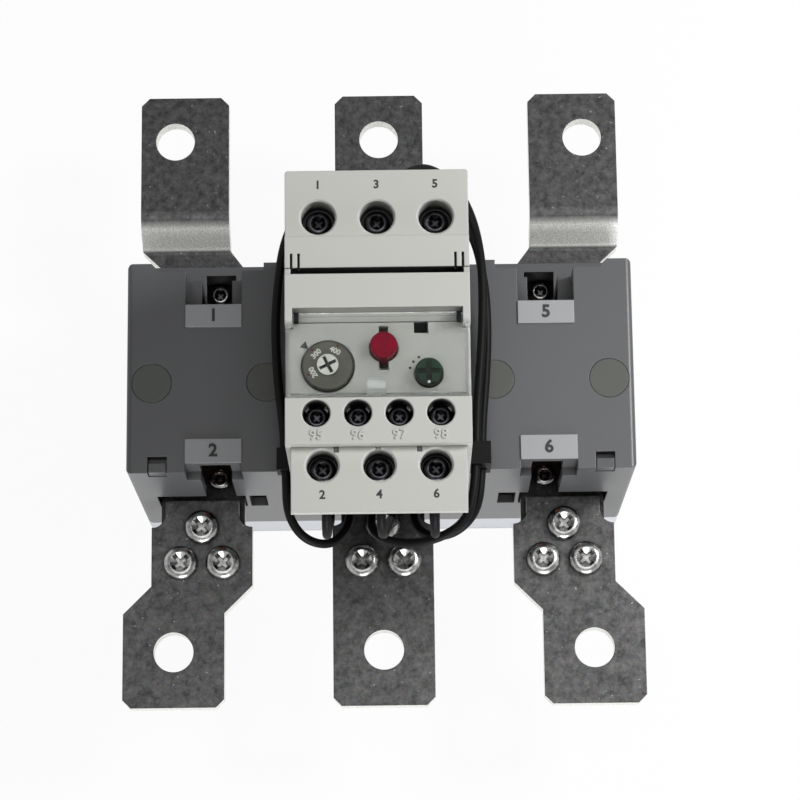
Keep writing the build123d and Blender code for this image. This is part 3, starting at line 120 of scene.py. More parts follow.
class RelaySizes(bpy.types.PropertyGroup):
    """Sizes that can be changed, in metres."""

    lead: bpy.props.FloatProperty(
        name="Lead", description="Diameter over a lead's insulation", default=2.4 * MM, unit="LENGTH"
    )
    figure: bpy.props.FloatProperty(
        name="Terminal figure", description="Height of a printed terminal number", default=2.1 * MM,
        unit="LENGTH",
    )
    relief: bpy.props.FloatProperty(
        name="Relief", description="How far a moulded number stands proud", default=0.2 * MM, unit="LENGTH"
    )
    lens: bpy.props.FloatProperty(
        name="Lens", description="Focal length in millimetres", default=132.3, min=1
    )


def linear(code):
    """An sRGB hex value as linear RGBA."""
    channels = [int(code[i:i + 2], 16) / 255 for i in (0, 2, 4)]
    return (*[c / 12.92 if c <= 0.04045 else ((c + 0.055) / 1.055) ** 2.4 for c in channels], 1.0)


def shaded(code, share):
    """An sRGB hex value as linear RGBA, darkened or lightened by a share."""
    return (*(min(1.0, channel * share) for channel in linear(code)[:3]), 1.0)


def add_node(tree, kind, inputs=None, **settings):
    """Add a shader node with its settings; each input takes a value or a socket to link."""
    node = tree.nodes.new(kind)
    for name, value in settings.items():
        setattr(node, name, value)
    for name, value in (inputs or {}).items():
        if isinstance(value, bpy.types.NodeSocket):
            tree.links.new(value, node.inputs[name])
        else:
            node.inputs[name].default_value = value
    return node


def set_stops(node, *stops):
    """Give a ramp its stops of position and colour, in rising order."""
    elements = node.color_ramp.elements
    while len(elements) < len(stops):
        elements.new(1.0)
    for element, (position, colour) in zip(elements, stops):
        element.position, element.color = position, colour


def seen_directly(tree):
    """Factor that is 1 for the camera and for what metal and glass show of a surface, else 0."""
    path = add_node(tree, "ShaderNodeLightPath")
    seen = path.outputs["Is Camera Ray"]
    for ray in ("Is Glossy Ray", "Is Transmission Ray"):
        either = add_node(tree, "ShaderNodeMath", {0: seen, 1: path.outputs[ray]}, operation="MAXIMUM")
        seen = either.outputs["Value"]
    return seen


def new_material(name, **values):
    """A material whose shader takes the given socket values."""
    material = bpy.data.materials.new(name)
    material.use_nodes = True
    shader = material.node_tree.nodes["Principled BSDF"]
    for socket, value in values.items():
        shader.inputs[socket.replace("_", " ")].default_value = value
    return material, material.node_tree, shader


def painted_shade(tree, colour, reach, deep="0C0C0D", alone=False):
    """Paint shade into wells and gaps narrower than a reach, in a dark colour; alone counts no walls but
    the piece's own.
    """
    open_air = add_node(
        tree, "ShaderNodeAmbientOcclusion", {"Distance": reach}, samples=12, only_local=alone
    )
    share = add_node(
        tree, "ShaderNodeMapRange", {"From Min": 0.2, "From Max": 0.62, "Value": open_air.outputs["AO"]}
    )
    # The dark colour is painted shade, not a colour of the piece
    mix = add_node(
        tree, "ShaderNodeMix", {"Factor": share.outputs["Result"], "A": linear(deep), "B": colour},
        data_type="RGBA",
    )
    return mix.outputs["Result"]


def above(tree, place, level, low, high, soft=0.1 * MM):
    """One colour below a height and another above it."""
    split = add_node(tree, "ShaderNodeSeparateXYZ", {"Vector": place.outputs["Object"]})
    share = add_node(
        tree, "ShaderNodeMapRange",
        {"From Min": level, "From Max": level + soft, "Value": split.outputs["Z"]},
    )
    mix = add_node(
        tree, "ShaderNodeMix", {"Factor": share.outputs["Result"], "A": low, "B": high}, data_type="RGBA"
    )
    return mix.outputs["Result"]


def within(tree, place, centre, radius, inside, outside):
    """One colour inside a radius round an upright axis and another outside it."""
    x, y = centre
    flat = add_node(
        tree, "ShaderNodeMapping",
        {"Location": (-x * MM, -y * MM, 0), "Scale": (1, 1, 0), "Vector": place.outputs["Object"]},
        vector_type="POINT",
    )
    reach = add_node(tree, "ShaderNodeVectorMath", {0: flat.outputs["Vector"]}, operation="LENGTH")
    share = add_node(
        tree, "ShaderNodeMapRange",
        {"From Min": radius - BLUR, "From Max": radius + BLUR, "Value": reach.outputs["Value"]},
    )
    mix = add_node(
        tree, "ShaderNodeMix", {"Factor": share.outputs["Result"], "A": inside, "B": outside},
        data_type="RGBA",
    )
    return mix.outputs["Result"]


def grain(tree, shader, size, height, radius):
    """Fine surface grain of a real size over edges rounded by a radius."""
    place = add_node(tree, "ShaderNodeTexCoord")
    noise = add_node(
        tree, "ShaderNodeTexNoise",
        {"Scale": 1 / size, "Detail": 3.0, "Roughness": 0.6, "Vector": place.outputs["Object"]},
    )
    edge = add_node(tree, "ShaderNodeBevel", {"Radius": radius}, samples=EDGE_SAMPLES)
    bump = add_node(
        tree, "ShaderNodeBump",
        {
            "Strength": 0.35, "Distance": height,
            "Height": noise.outputs["Fac"], "Normal": edge.outputs["Normal"],
        },
    )
    tree.links.new(bump.outputs["Normal"], shader.inputs["Normal"])
    return place, noise


def moulded(name, code, roughness, size=GRAIN, height=GRAIN_HEIGHT, alone=False, gloss=0.5):
    """Thermoplastic from a spark-eroded mould: even colour, fine grain, soft sheen, and painted shade in
    its gaps.
    """
    material, tree, shader = new_material(name, Roughness=roughness, IOR=1.5, Specular_IOR_Level=gloss)
    grain(tree, shader, size, height, EDGE)
    # Wells and gaps are painted dark as shade
    tree.links.new(painted_shade(tree, linear(code), SHADED_GAP, alone=alone), shader.inputs["Base Color"])
    return material


def base_moulding(code, arm_shade_code, arm_shade_level):
    """Pale blue-grey polyamide with a soft sheen; the snap arms inside the housing and the gaps are painted
    dark as shade.
    """
    material, tree, shader = new_material("blue-grey glass-filled polyamide", Roughness=0.34, IOR=1.5)
    place, _ = grain(tree, shader, GRAIN, GRAIN_HEIGHT, EDGE)
    # Above the arm level the colour is painted shade, where the arms sit inside the housing
    tone = above(tree, place, arm_shade_level, linear(code), linear(arm_shade_code))
    tree.links.new(painted_shade(tree, tone, SHADED_GAP), shader.inputs["Base Color"])
    return material


def housing_moulding(code, pad_code, pad_level):
    """Dark satin polyamide whose wells and slots are painted black as shade, with the raised marking pads
    much paler.
    """
    material, tree, shader = new_material("dark glass-filled polyamide", Roughness=0.38, IOR=1.5)
    place, _ = grain(tree, shader, GRAIN, GRAIN_HEIGHT, EDGE)
    tone = above(tree, place, pad_level, linear(code), linear(pad_code))
    # Wells and slots narrower than the reach are painted black as shade
    tree.links.new(painted_shade(tree, tone, 12 * MM), shader.inputs["Base Color"])
    return material


def dial_moulding():
    """Two-shot polyamide: olive grey scale, white hub, and its screwdriver slot painted dark as shade."""
    material, tree, shader = new_material("olive grey polyamide", Roughness=0.42, IOR=1.5)
    place, _ = grain(tree, shader, 0.4 * MM, 0.012 * MM, 0.2 * MM)
    # Below the hub's face the slot is painted dark as shade
    hub = above(
        tree, place, top_of("current_dial") - 0.2 * MM, linear("3E3E38"), linear("D4D4CE"), 0.05 * MM
    )
    face = within(tree, place, DIAL, 2.6 * MM, hub, linear("54534A"))
    tree.links.new(face, shader.inputs["Base Color"])
    return material


def knob_moulding(code):
    """Green ABS from a polished mould, with its screwdriver cross painted nearly black as shade."""
    material, tree, shader = new_material("green ABS knob", Roughness=0.3, IOR=1.45, Specular_IOR_Level=0.2)
    place, _ = grain(tree, shader, 0.3 * MM, 0.01 * MM, 0.2 * MM)
    # Below the knob's face the cross is painted nearly black as shade
    face = above(
        tree, place, top_of("reset_knob") - 0.12 * MM, linear("101C15"), linear(code), 0.05 * MM
    )
    tree.links.new(face, shader.inputs["Base Color"])
    return material


def tinned_copper(code):
    """Tinned copper bar: dull dark mottled flats with pale nicks and painted shade near walls, and bends
    and sheared edges painted bright as a highlight.
    """
    material, tree, shader = new_material("tinned copper", Metallic=0.9, Roughness=0.4)
    place, pits = grain(tree, shader, 0.35 * MM, 0.05 * MM, 0.3 * MM)
    cloud = add_node(
        tree, "ShaderNodeTexNoise",
        {"Scale": 1 / (2.4 * MM), "Detail": 8.0, "Roughness": 0.8, "Vector": place.outputs["Object"]},
    )
    tint = add_node(tree, "ShaderNodeValToRGB", {"Fac": cloud.outputs["Fac"]})
    set_stops(tint, (0.36, shaded(code, 0.52)), (0.64, shaded(code, 1.65)))
    speckle = add_node(
        tree, "ShaderNodeMix",
        {"Factor": 0.55, "A": tint.outputs["Color"], "B": pits.outputs["Color"]},
        data_type="RGBA", blend_type="OVERLAY",
    )
    scars = add_node(
        tree, "ShaderNodeTexNoise",
        {"Scale": 1 / (1.1 * MM), "Detail": 2.0, "Roughness": 0.5, "Vector": place.outputs["Object"]},
    )
    nick = add_node(
        tree, "ShaderNodeMapRange",
        {"From Min": 0.7, "From Max": 0.75, "To Max": 0.6, "Value": scars.outputs["Fac"]},
    )
    flat = add_node(
        tree, "ShaderNodeMix",
        {"Factor": nick.outputs["Result"], "A": speckle.outputs["Result"], "B": linear("A8A8A6")},
        data_type="RGBA",
    )
    # Faces that are not flat, the bends and sheared edges, are painted bright as a highlight
    facing = add_node(tree, "ShaderNodeNewGeometry")
    upright = add_node(tree, "ShaderNodeSeparateXYZ", {"Vector": facing.outputs["Normal"]})
    tilt = add_node(tree, "ShaderNodeMath", {0: upright.outputs["Z"]}, operation="ABSOLUTE")
    edge = add_node(
        tree, "ShaderNodeMapRange", {"From Min": 0.94, "From Max": 0.78, "Value": tilt.outputs["Value"]}
    )
    bright = add_node(tree, "ShaderNodeValToRGB", {"Fac": pits.outputs["Fac"]})
    set_stops(bright, (0.32, linear("C4C4BC")), (0.62, linear("FFFFFB")))
    # Flats near walls, such as behind the housing, are painted nearly black as shade
    colour = add_node(
        tree, "ShaderNodeMix",
        {
            "Factor": edge.outputs["Result"], "B": bright.outputs["Color"],
            "A": painted_shade(tree, flat.outputs["Result"], 22 * MM, "060606"),
        },
        data_type="RGBA",
    )
    # Metal is turned down on the bends so that their painted highlight shows as diffuse colour
    metal = add_node(tree, "ShaderNodeValToRGB", {"Fac": tilt.outputs["Value"]})
    shares = ((0.3, 0.85), (0.4, 0.12), (0.84, 0.12), (0.96, 0.92))
    set_stops(metal, *((position, (share, share, share, 1)) for position, share in shares))
    tree.links.new(colour.outputs["Result"], shader.inputs["Base Color"])
    tree.links.new(metal.outputs["Color"], shader.inputs["Metallic"])
    return material


def plated_steel(name, code, roughness, contrast=0.5):
    """Electroplated steel: bright metal with a thin uneven film, and painted shade in its recesses."""
    material, tree, shader = new_material(name, Metallic=1.0)
    place, _ = grain(tree, shader, 0.6 * MM, GRAIN_HEIGHT, 0.15 * MM)
    film = add_node(
        tree, "ShaderNodeTexNoise",
        {"Scale": 1 / (1.6 * MM), "Detail": 4.0, "Vector": place.outputs["Object"]},
    )
    tint = add_node(tree, "ShaderNodeValToRGB", {"Fac": film.outputs["Fac"]})
    set_stops(tint, (0.35, shaded(code, contrast)), (0.65, linear(code)))
    rough = add_node(
        tree, "ShaderNodeMapRange",
        {"To Min": roughness * 0.7, "To Max": roughness * 1.3, "Value": film.outputs["Fac"]},
    )
    # Recesses such as the screw heads' crosses are painted dark as shade
    colour = painted_shade(tree, tint.outputs["Color"], 3.2 * MM, "060607", alone=True)
    tree.links.new(colour, shader.inputs["Base Color"])
    tree.links.new(rough.outputs["Result"], shader.inputs["Roughness"])
    return material


def polished_plastic(name, code, roughness=0.18):
    """ABS from a polished mould: clean even colour with small clear highlights on its edges."""
    material, tree, shader = new_material(
        name, Base_Color=linear(code), Roughness=roughness, IOR=1.45, Specular_IOR_Level=0.12
    )
    edge = add_node(tree, "ShaderNodeBevel", {"Radius": 0.25 * MM}, samples=EDGE_SAMPLES)
    tree.links.new(edge.outputs["Normal"], shader.inputs["Normal"])
    return material


def clear_polycarbonate():
    """Clear polycarbonate: almost unseen flat on, with pale lines at its edges and a frosted thumb pad."""
    material, tree, shader = new_material(
        "clear polycarbonate", Base_Color=linear("F2F4F3"), IOR=1.22, Transmission_Weight=1.0
    )
    place = add_node(tree, "ShaderNodeTexCoord")
    split = add_node(tree, "ShaderNodeSeparateXYZ", {"Vector": place.outputs["Object"]})
    frost = add_node(
        tree, "ShaderNodeMapRange",
        {
            "From Min": top_of("cover") - 0.45 * MM, "From Max": top_of("cover") - 0.4 * MM,
            "To Min": 0.03, "To Max": 0.6, "Value": split.outputs["Z"],
        },
    )
    tree.links.new(frost.outputs["Result"], shader.inputs["Roughness"])
    return material


def frosted_polycarbonate():
    """Clear polycarbonate with an etched face: a milky white patch."""
    material, tree, shader = new_material(
        "frosted polycarbonate", Base_Color=linear("E4E6E4"), Roughness=0.35, IOR=1.4,
        Transmission_Weight=0.6,
    )
    grain(tree, shader, 0.3 * MM, 0.02 * MM, 0.15 * MM)
    return material


def sleeve_vinyl():
    """Black PVC sleeve on stranded wire: deep black with a soft highlight along it."""
    material, _, _ = new_material(
        "black wire sleeve", Base_Color=linear("040404"), Roughness=0.5, IOR=1.45, Specular_IOR_Level=0.16
    )
    return material


def rolled_metal(name, code, roughness):
    """Cold-rolled strip: smooth metal of an even colour with a thin bright line on its edges."""
    material, tree, shader = new_material(name, Base_Color=linear(code), Metallic=1.0, Roughness=roughness)
    edge = add_node(tree, "ShaderNodeBevel", {"Radius": 0.1 * MM}, samples=EDGE_SAMPLES)
    tree.links.new(edge.outputs["Normal"], shader.inputs["Normal"])
    return material


def wound_wire():
    """Enamelled copper wire in layers: red-brown ridges one wire apart."""
    material, tree, shader = new_material("enamelled copper winding", Metallic=0.7, Roughness=0.3)
    place = add_node(tree, "ShaderNodeTexCoord")
    turns = add_node(
        tree, "ShaderNodeTexWave",
        {"Scale": 1 / (1.2 * MM) / WAVES, "Vector": place.outputs["Object"]},
        wave_type="BANDS", bands_direction="X",
    )
    tint = add_node(tree, "ShaderNodeValToRGB", {"Fac": turns.outputs["Fac"]})
    set_stops(tint, (0.0, linear("4A1E0E")), (1.0, linear("B5622F")))
    bump = add_node(tree, "ShaderNodeBump", {"Distance": 0.15 * MM, "Height": turns.outputs["Fac"]})
    tree.links.new(tint.outputs["Color"], shader.inputs["Base Color"])
    tree.links.new(bump.outputs["Normal"], shader.inputs["Normal"])
    return material


def stacked_sheet():
    """Stack of silicon-steel sheets: dark edges in fine parallel lines."""
    material, tree, shader = new_material("core sheets", Metallic=0.8, Roughness=0.45)
    place = add_node(tree, "ShaderNodeTexCoord")
    sheets = add_node(
        tree, "ShaderNodeTexWave",
        {"Scale": 1 / (1.0 * MM) / WAVES, "Vector": place.outputs["Object"]},
        wave_type="BANDS", bands_direction="Y",
    )
    tint = add_node(tree, "ShaderNodeValToRGB", {"Fac": sheets.outputs["Fac"]})
    set_stops(tint, (0.0, linear("2C2C2E")), (1.0, linear("77777A")))
    tree.links.new(tint.outputs["Color"], shader.inputs["Base Color"])
    return material


def white_card(name, code, shadow_share):
    """Pale card that the camera, metal and glass see as white, and that still takes a faint shadow."""
    material = bpy.data.materials.new(name)
    material.use_nodes = True
    tree = material.node_tree
    tree.nodes.clear()
    card = add_node(tree, "ShaderNodeBsdfDiffuse", {"Color": linear(code)})
    white = add_node(tree, "ShaderNodeEmission", {"Color": (1, 1, 1, 1), "Strength": 1.0})
    shown = add_node(
        tree, "ShaderNodeMixShader",
        {"Fac": shadow_share, 1: white.outputs["Emission"], 2: card.outputs["BSDF"]},
    )
    mix = add_node(
        tree, "ShaderNodeMixShader",
        {"Fac": seen_directly(tree), 1: card.outputs["BSDF"], 2: shown.outputs["Shader"]},
    )
    add_node(tree, "ShaderNodeOutputMaterial", {"Surface": mix.outputs["Shader"]})
    return material


def printed(name, code):
    """Pad-printed ink: a thin matt film of one colour, slightly broken by the grain under it."""
    material, tree, shader = new_material(name, Roughness=0.6, IOR=1.45, Specular_IOR_Level=0.3)
    place = add_node(tree, "ShaderNodeTexCoord")
    wear = add_node(
        tree, "ShaderNodeTexNoise",
        {"Scale": 1 / (0.25 * MM), "Detail": 2.0, "Vector": place.outputs["Object"]},
    )
    film = add_node(tree, "ShaderNodeValToRGB", {"Fac": wear.outputs["Fac"]})
    set_stops(film, (0.35, shaded(code, 0.85)), (0.65, shaded(code, 1.1)))
    tree.links.new(film.outputs["Color"], shader.inputs["Base Color"])
    return material


def clear_selection():
    """Deselect everything, because an operator acts on all that is selected."""
    if bpy.context.object and bpy.context.object.mode != "OBJECT":
        bpy.ops.object.mode_set(mode="OBJECT")
    bpy.ops.object.select_all(action="DESELECT")


def pick(objects):
    """Select these objects alone, the first one active."""
    clear_selection()
    for item in objects:
        item.select_set(True)
    bpy.context.view_layer.objects.active = objects[0]


def settle(item):
    """Move an object's place into its mesh."""
    pick([item])
    bpy.ops.object.transform_apply(location=True, rotation=True, scale=True)


def edit_ends(item, operator, both=False, **settings):
    """Run a mesh operator on the top face, or on both end faces, of an upright piece."""
    bpy.ops.object.mode_set(mode="EDIT")
    bpy.ops.mesh.select_mode(type="FACE")
    bpy.ops.mesh.select_all(action="DESELECT")
    bpy.ops.object.mode_set(mode="OBJECT")
    for face in item.data.polygons:
        face.select = (abs(face.normal.z) if both else face.normal.z) > END_FACE
    bpy.ops.object.mode_set(mode="EDIT")
    operator(**settings)
    bpy.ops.object.mode_set(mode="OBJECT")


def new_cylinder(name, radius, depth, centre, vertices=48):
    """Add a cylinder at its size and place, and make it active."""
    clear_selection()
    bpy.ops.mesh.primitive_cylinder_add(vertices=vertices, radius=radius, depth=depth, location=centre)
    item = bpy.context.object
    item.name = name
    settle(item)
    return item


def apply_modifier(item, kind, **settings):
    """Add a modifier with settings and apply it."""
    pick([item])
    modifier = item.modifiers.new(kind.title(), kind)
    for name, value in settings.items():
        setattr(modifier, name, value)
    bpy.ops.object.modifier_apply(modifier=modifier.name)


def copy_to(item, shift, name):
    """Copy a piece with a mesh of its own, shifted."""
    copy = item.copy()
    copy.data = item.data.copy()
    copy.name = name
    bpy.context.scene.collection.objects.link(copy)
    copy.data.transform(Matrix.Translation(shift))
    return copy


def join(items, name):
    """Join pieces into one object."""
    pick(items)
    if len(items) > 1:
        bpy.ops.object.join()
    item = bpy.context.object
    item.name = name
    return item


def own(item, body):
    """Let a piece ride a body."""
    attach(item, body)


def cross_recess(item, top, reach, width, depth, turn):
    """Sink a tapered cross with a coned middle into a screw head that stands at the origin."""
    foot_along, foot_across = 0.5, 0.7
    tools = []
    for angle in (turn, turn + 90):
        clear_selection()
        bpy.ops.mesh.primitive_cube_add(size=1, location=(0, 0, 0))
        arm = bpy.context.object
        arm.scale = (2 * reach, width, 2 * depth)
        settle(arm)
        for vertex in arm.data.vertices:
            if vertex.co.z < 0:
                vertex.co.x *= foot_along
                vertex.co.y *= foot_across
        arm.data.transform(Matrix.Translation((0, 0, top)) @ Matrix.Rotation(math.radians(angle), 4, "Z"))
        tools.append(arm)
    clear_selection()
    bpy.ops.mesh.primitive_cone_add(
        vertices=16, radius1=reach * 0.25, radius2=reach * 0.85, depth=depth,
        location=(0, 0, top - depth * 0.38),
    )
    tools.append(bpy.context.object)
    settle(tools[-1])
    for tool in tools:
        apply_modifier(item, "BOOLEAN", operation="DIFFERENCE", object=tool, solver="EXACT")
    for tool in tools:
        bpy.data.objects.remove(tool)


def pan_head(name, centre, seat, radius, height, shank, length, turn=40):
    """Model one pan-head screw in millimetres at the origin, then scale and place its mesh."""
    head = new_cylinder(name, radius, height, (0, 0, height / 2))
    rim = min(height * 0.62, radius * 0.42)
    edit_ends(head, bpy.ops.mesh.bevel, offset=rim, segments=7, profile=0.5)
    cross_recess(head, height, reach=radius * 0.76, width=radius * 0.32, depth=height * 0.62, turn=turn)
    stem = new_cylinder(name + "_shank", shank, length, (0, 0, -length / 2), vertices=24)
    screw = join([head, stem], name)
    screw.data.transform(Matrix.Translation((*centre, seat)) @ Matrix.Scale(MM, 4))
    pick([screw])
    bpy.ops.object.shade_smooth_by_angle(angle=math.radians(35))
    return screw


def figure(text, place, height, name, material, relief, turn=0.0):
    """Add a moulded or printed number that stands a little proud of its face."""
    size_to_height, weight = 1.4, 0.045
    clear_selection()
    bpy.ops.object.text_add(location=(0, 0, 0))
    item = bpy.context.object
    item.data.body = text
    item.data.size = height * size_to_height
    item.data.align_x = "CENTER"
    item.data.align_y = "CENTER"
    item.data.offset = height * weight
    item.data.extrude = relief
    item.data.resolution_u = 3
    item.rotation_euler = (0, 0, turn)
    item.location = place
    bpy.ops.object.convert(target="MESH")
    item = bpy.context.object
    settle(item)
    item.name = name
    item.data.materials.append(material)
    return item


def finish_nodes(names, material):
    """Give these solids of the frame a finish."""
    for name in names:
        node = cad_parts[name]
        node.data.materials.clear()
        node.data.materials.append(material)


# Finishes by a short name, made by the operators, and the solids that take each
PALETTE = {}
FINISHES = {
    "housing": ["ct_housing"],
    "plug": ["well_plugs"],
    "base": ["ct_base"],
    "shell": ["mounting_unit", "load_block", "relay_case", "aux_block"],
    "front": ["relay_front"],
    "tin": [f"{kind}_{side}" for kind in ("busbar", "load_plate") for side in SIDES],
    "zinc": [
        "plate_screws", "bar_screws", "line_clamps", "load_clamps", "pivot_pin", "aux_washers",
        "test_spring", "reset_spring",
    ],
    "black steel": ["line_screws", "load_screws", "aux_screws"],
    "clear": ["cover"],
    "red": ["test_button"],
    "green": ["reset_plunger", "trip_flag"],
    "knob": ["reset_knob"],
    "dial": ["current_dial"],
    "cream": ["bobbins", "slider_bar", "trip_lever", "contact_carriage", "dial_cam"],
    "black": ["lead_bush", "lead_clip_left", "lead_clip_right"],
    "brass": ["nc_bridge", "no_bridge", "nc_contacts", "no_contacts"],
    "nickel": ["line_strips", "heaters", "bimetals"],
    "wire": ["windings"],
    "sheets": ["cores"],
    "sleeve": [f"{kind}_lead_{side}" for kind in ("line", "load") for side in SIDES],
}


class RELAY_OT_finishes(bpy.types.Operator):
    """Give every solid of the frame the finish of the real piece"""

    bl_idname = "relay.finishes"
    bl_label = "Finishes"

    def execute(self, context):
        colours = context.scene.relay_colours
        pad_level = top_of("ct_housing") - 0.3 * MM
        PALETTE["housing"] = housing_moulding(colours.housing, "9A9B9D", pad_level)
        PALETTE["plug"] = moulded(
            "greenish grey polyamide plug", "484B46", 0.42, size=0.6 * MM, height=0.03 * MM
        )
        # The snap arms above 60 mm are painted dark as shade
        PALETTE["base"] = base_moulding(colours.base, "4E4F51", arm_shade_level=60 * MM)
        # Both copies of the shell take painted shade in their gaps; the front counts only its own walls
        for name, alone in (("shell", False), ("front", True)):
            PALETTE[name] = moulded(
                f"light grey polycarbonate {name}", colours.shell, 0.42,
                size=0.35 * MM, height=0.012 * MM, alone=alone,
            )
        PALETTE["tin"] = tinned_copper(colours.tin)
        PALETTE["zinc"] = plated_steel("zinc-plated steel", "B4B5B3", 0.26)
        PALETTE["black steel"] = plated_steel("blackened steel", "5A5A5E", 0.32, contrast=0.35)
        PALETTE["clear"] = clear_polycarbonate()
        PALETTE["red"] = polished_plastic("red ABS", colours.test)
        PALETTE["green"] = polished_plastic("dark green ABS", colours.reset, 0.24)
        PALETTE["dial"] = dial_moulding()
        PALETTE["knob"] = knob_moulding(colours.knob)
        PALETTE["cream"] = moulded("natural acetal", "D8D2C0", 0.4)
        PALETTE["black"] = moulded("black polyamide", "070708", 0.55, gloss=0.15)
        PALETTE["sleeve"] = sleeve_vinyl()
        PALETTE["brass"] = rolled_metal("brass strip", "C9A25A", 0.25)
        PALETTE["nickel"] = rolled_metal("nickel alloy strip", "9A968C", 0.3)
        PALETTE["wire"] = wound_wire()
        PALETTE["sheets"] = stacked_sheet()
        for finish, names in FINISHES.items():
            finish_nodes(names, PALETTE[finish])
        missed = set(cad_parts) - {name for names in FINISHES.values() for name in names}
        if missed:
            raise RuntimeError(f"these solids have no finish: {sorted(missed)}")
        return {"FINISHED"}


# Centrelines of the leads in millimetres, from the terminal to the bush
LEADS = {
    "line_lead_left": [
        (-14.4, 20, 127.2), (-14.4, 32, 127.2), (-15.8, 39.5, 118), (-20, 39, 105), (-25.4, 32, 96),
        (-27.4, 19.5, 92.3), (-28, 7, 91), (-27.3, -6, 90.4), (-25.7, -19, 90.1), (-25.2, -32, 90.2),
        (-25, -41.5, 88.8), (-20.8, -47.6, 85.6), (-14.2, -48.6, 81), (-9.6, -43.6, 74.5),
        (-8.4, -36.2, 67), (-8.4, -27.4, 67),
    ],
    "line_lead_middle": [
        (0, 20, 127.2), (0.6, 33, 127.6), (9.5, 43.2, 126.5), (18.5, 42.5, 117.5), (24.6, 36, 107),
        (27.4, 25, 100.5), (27.6, 12, 97.8), (26.8, -1, 96.4), (25.6, -13.5, 95.6), (25.2, -25, 95.2),
        (24.6, -36, 95.4), (22.5, -45, 94.6), (14, -49.6, 92), (4, -49.6, 88), (-3, -45, 79),
        (-2.8, -36.2, 67), (-2.8, -27.4, 67),
    ],
    "line_lead_right": [
        (14.4, 20, 127.2), (14.4, 31, 127.2), (15.2, 37, 118.5), (19, 37, 107), (25.8, 32, 97.5),
        (28.4, 19.5, 92.4), (28.9, 7, 91), (28.1, -6, 90.4), (26.9, -19, 90.1), (26.6, -32, 90.2),
        (25.4, -41, 89), (20, -46.4, 86), (13, -46.6, 80.5), (9, -42.4, 74), (8.4, -35.6, 67),
        (8.4, -27.4, 67),
    ],
}

# The three load leads fall alike: share of the way across, then y and z of each point
FALL = (
    (0.02, -47.8, 126.7), (0.1, -53, 120.6), (0.3, -51.4, 112.2), (0.6, -47, 103), (0.85, -44, 93.5),
    (0.95, -43, 84), (1.05, -41.6, 75.4), (1.0, -36.4, 67),
)
for side, start, end in (("left", -13.7, -14.0), ("middle", 0.0, 2.8), ("right", 13.7, 14.0)):
    drop = [(start + share * (end - start), y, z) for share, y, z in FALL]
    LEADS[f"load_lead_{side}"] = [(start, -41, 127.2), *drop, (end, -27.4, 67)]


def curve_length(item):
    """Length of a curve as it renders."""
    drawn = item.evaluated_get(bpy.context.evaluated_depsgraph_get())
    mesh = drawn.to_mesh()
    ends = [[mesh.vertices[index].co for index in edge.vertices] for edge in mesh.edges]
    total = sum((start - end).length for start, end in ends)
    drawn.to_mesh_clear()
    return total


class RELAY_OT_leads(bpy.types.Operator):
    """Lay the secondary leads between the relay's terminals and the transformer block"""

    bl_idname = "relay.leads"
    bl_label = "Leads"

    def execute(self, context):
        diameter = context.scene.relay_sizes.lead
        for name, points in LEADS.items():
            clear_selection()
            curve = bpy.data.curves.new(name + "_wire", "CURVE")
            curve.dimensions = "3D"
            line = curve.splines.new("NURBS")
            line.points.add(len(points) - 1)
            for point, place in zip(line.points, points):
                point.co = (*(value * MM for value in place), 1)
            line.order_u = 3
            line.use_endpoint_u = True
            line.resolution_u = 10
            wire = bpy.data.objects.new(name + "_wire", curve)
            context.scene.collection.objects.link(wire)
            length = curve_length(wire)
            curve.bevel_depth = diameter / 2
            curve.bevel_resolution = 5
            curve.use_fill_caps = True
            curve.materials.append(PALETTE["sleeve"])
            own(wire, "relay")
            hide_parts(name)
        return {"FINISHED"}


# Screws in millimetres: finish, material slot, head radius and height, shank radius and length, places
PLATE_STEPS = ((0, -37.3), (-5.85, -47.3), (5.85, -47.3))
PLATE_PLACES = [(x + step, y) for x in (-50.25, 0, 50.25) for step, y in PLATE_STEPS]
BAR_PLACES = [(x, y) for x in (-45.4, 0, 45.4) for y in (30.1, -23.1)]
SCREWS = {
    "plate_screws": ("zinc", "zinc", 4.75, 3.1, 2.45, 10, PLATE_PLACES),
    "bar_screws": ("zinc", "zinc", 3.0, 3.55, 1.6, 13, BAR_PLACES),
    "line_screws": ("black steel", "dark_steel", 3.2, 3.0, 2.0, 25.5, [(x, LINE_Y) for x in LINE_X]),
    "load_screws": ("black steel", "dark_steel", 3.2, 3.0, 2.0, 25.5, [(x, LOAD_Y) for x in LOAD_X]),
    "aux_screws": ("black steel", "dark_steel", 2.9, 2.4, 1.6, 4.5, [(x, AUX_Y) for x in AUX_X]),
}


class RELAY_OT_screws(bpy.types.Operator):
    """Model the screws whose heads show"""

    bl_idname = "relay.screws"
    bl_label = "Screws"

    def execute(self, context):
        bar_face, plate_face = (corner.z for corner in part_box("load_plate_middle"))
        seats = {"plate_screws": plate_face, "bar_screws": bar_face}
        for node, (finish, slot, radius, height, shank, length, places) in SCREWS.items():
            seat = seats.get(node, top_of(node) - height * MM)
            piece = self.group(node[:-1] + "_heads", places, seat, radius, height, shank, length)
            piece.data.materials.clear()
            piece.data.materials.append(PALETTE[finish])
            own(piece, "relay")
            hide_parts(node)
        return {"FINISHED"}

    def group(self, name, places, seat, radius, height, shank, length):
        """Model one screw and join it with a copy at each other place."""
        centres = [(x * MM, y * MM) for x, y in places]
        first = pan_head(name, centres[0], seat, radius, height, shank, length)
        screws = [first]
        for index, centre in enumerate(centres[1:]):
            shift = Vector((centre[0] - centres[0][0], centre[1] - centres[0][1], 0))
            screws.append(copy_to(first, shift, f"{name}_{index}"))
        return join(screws, name)


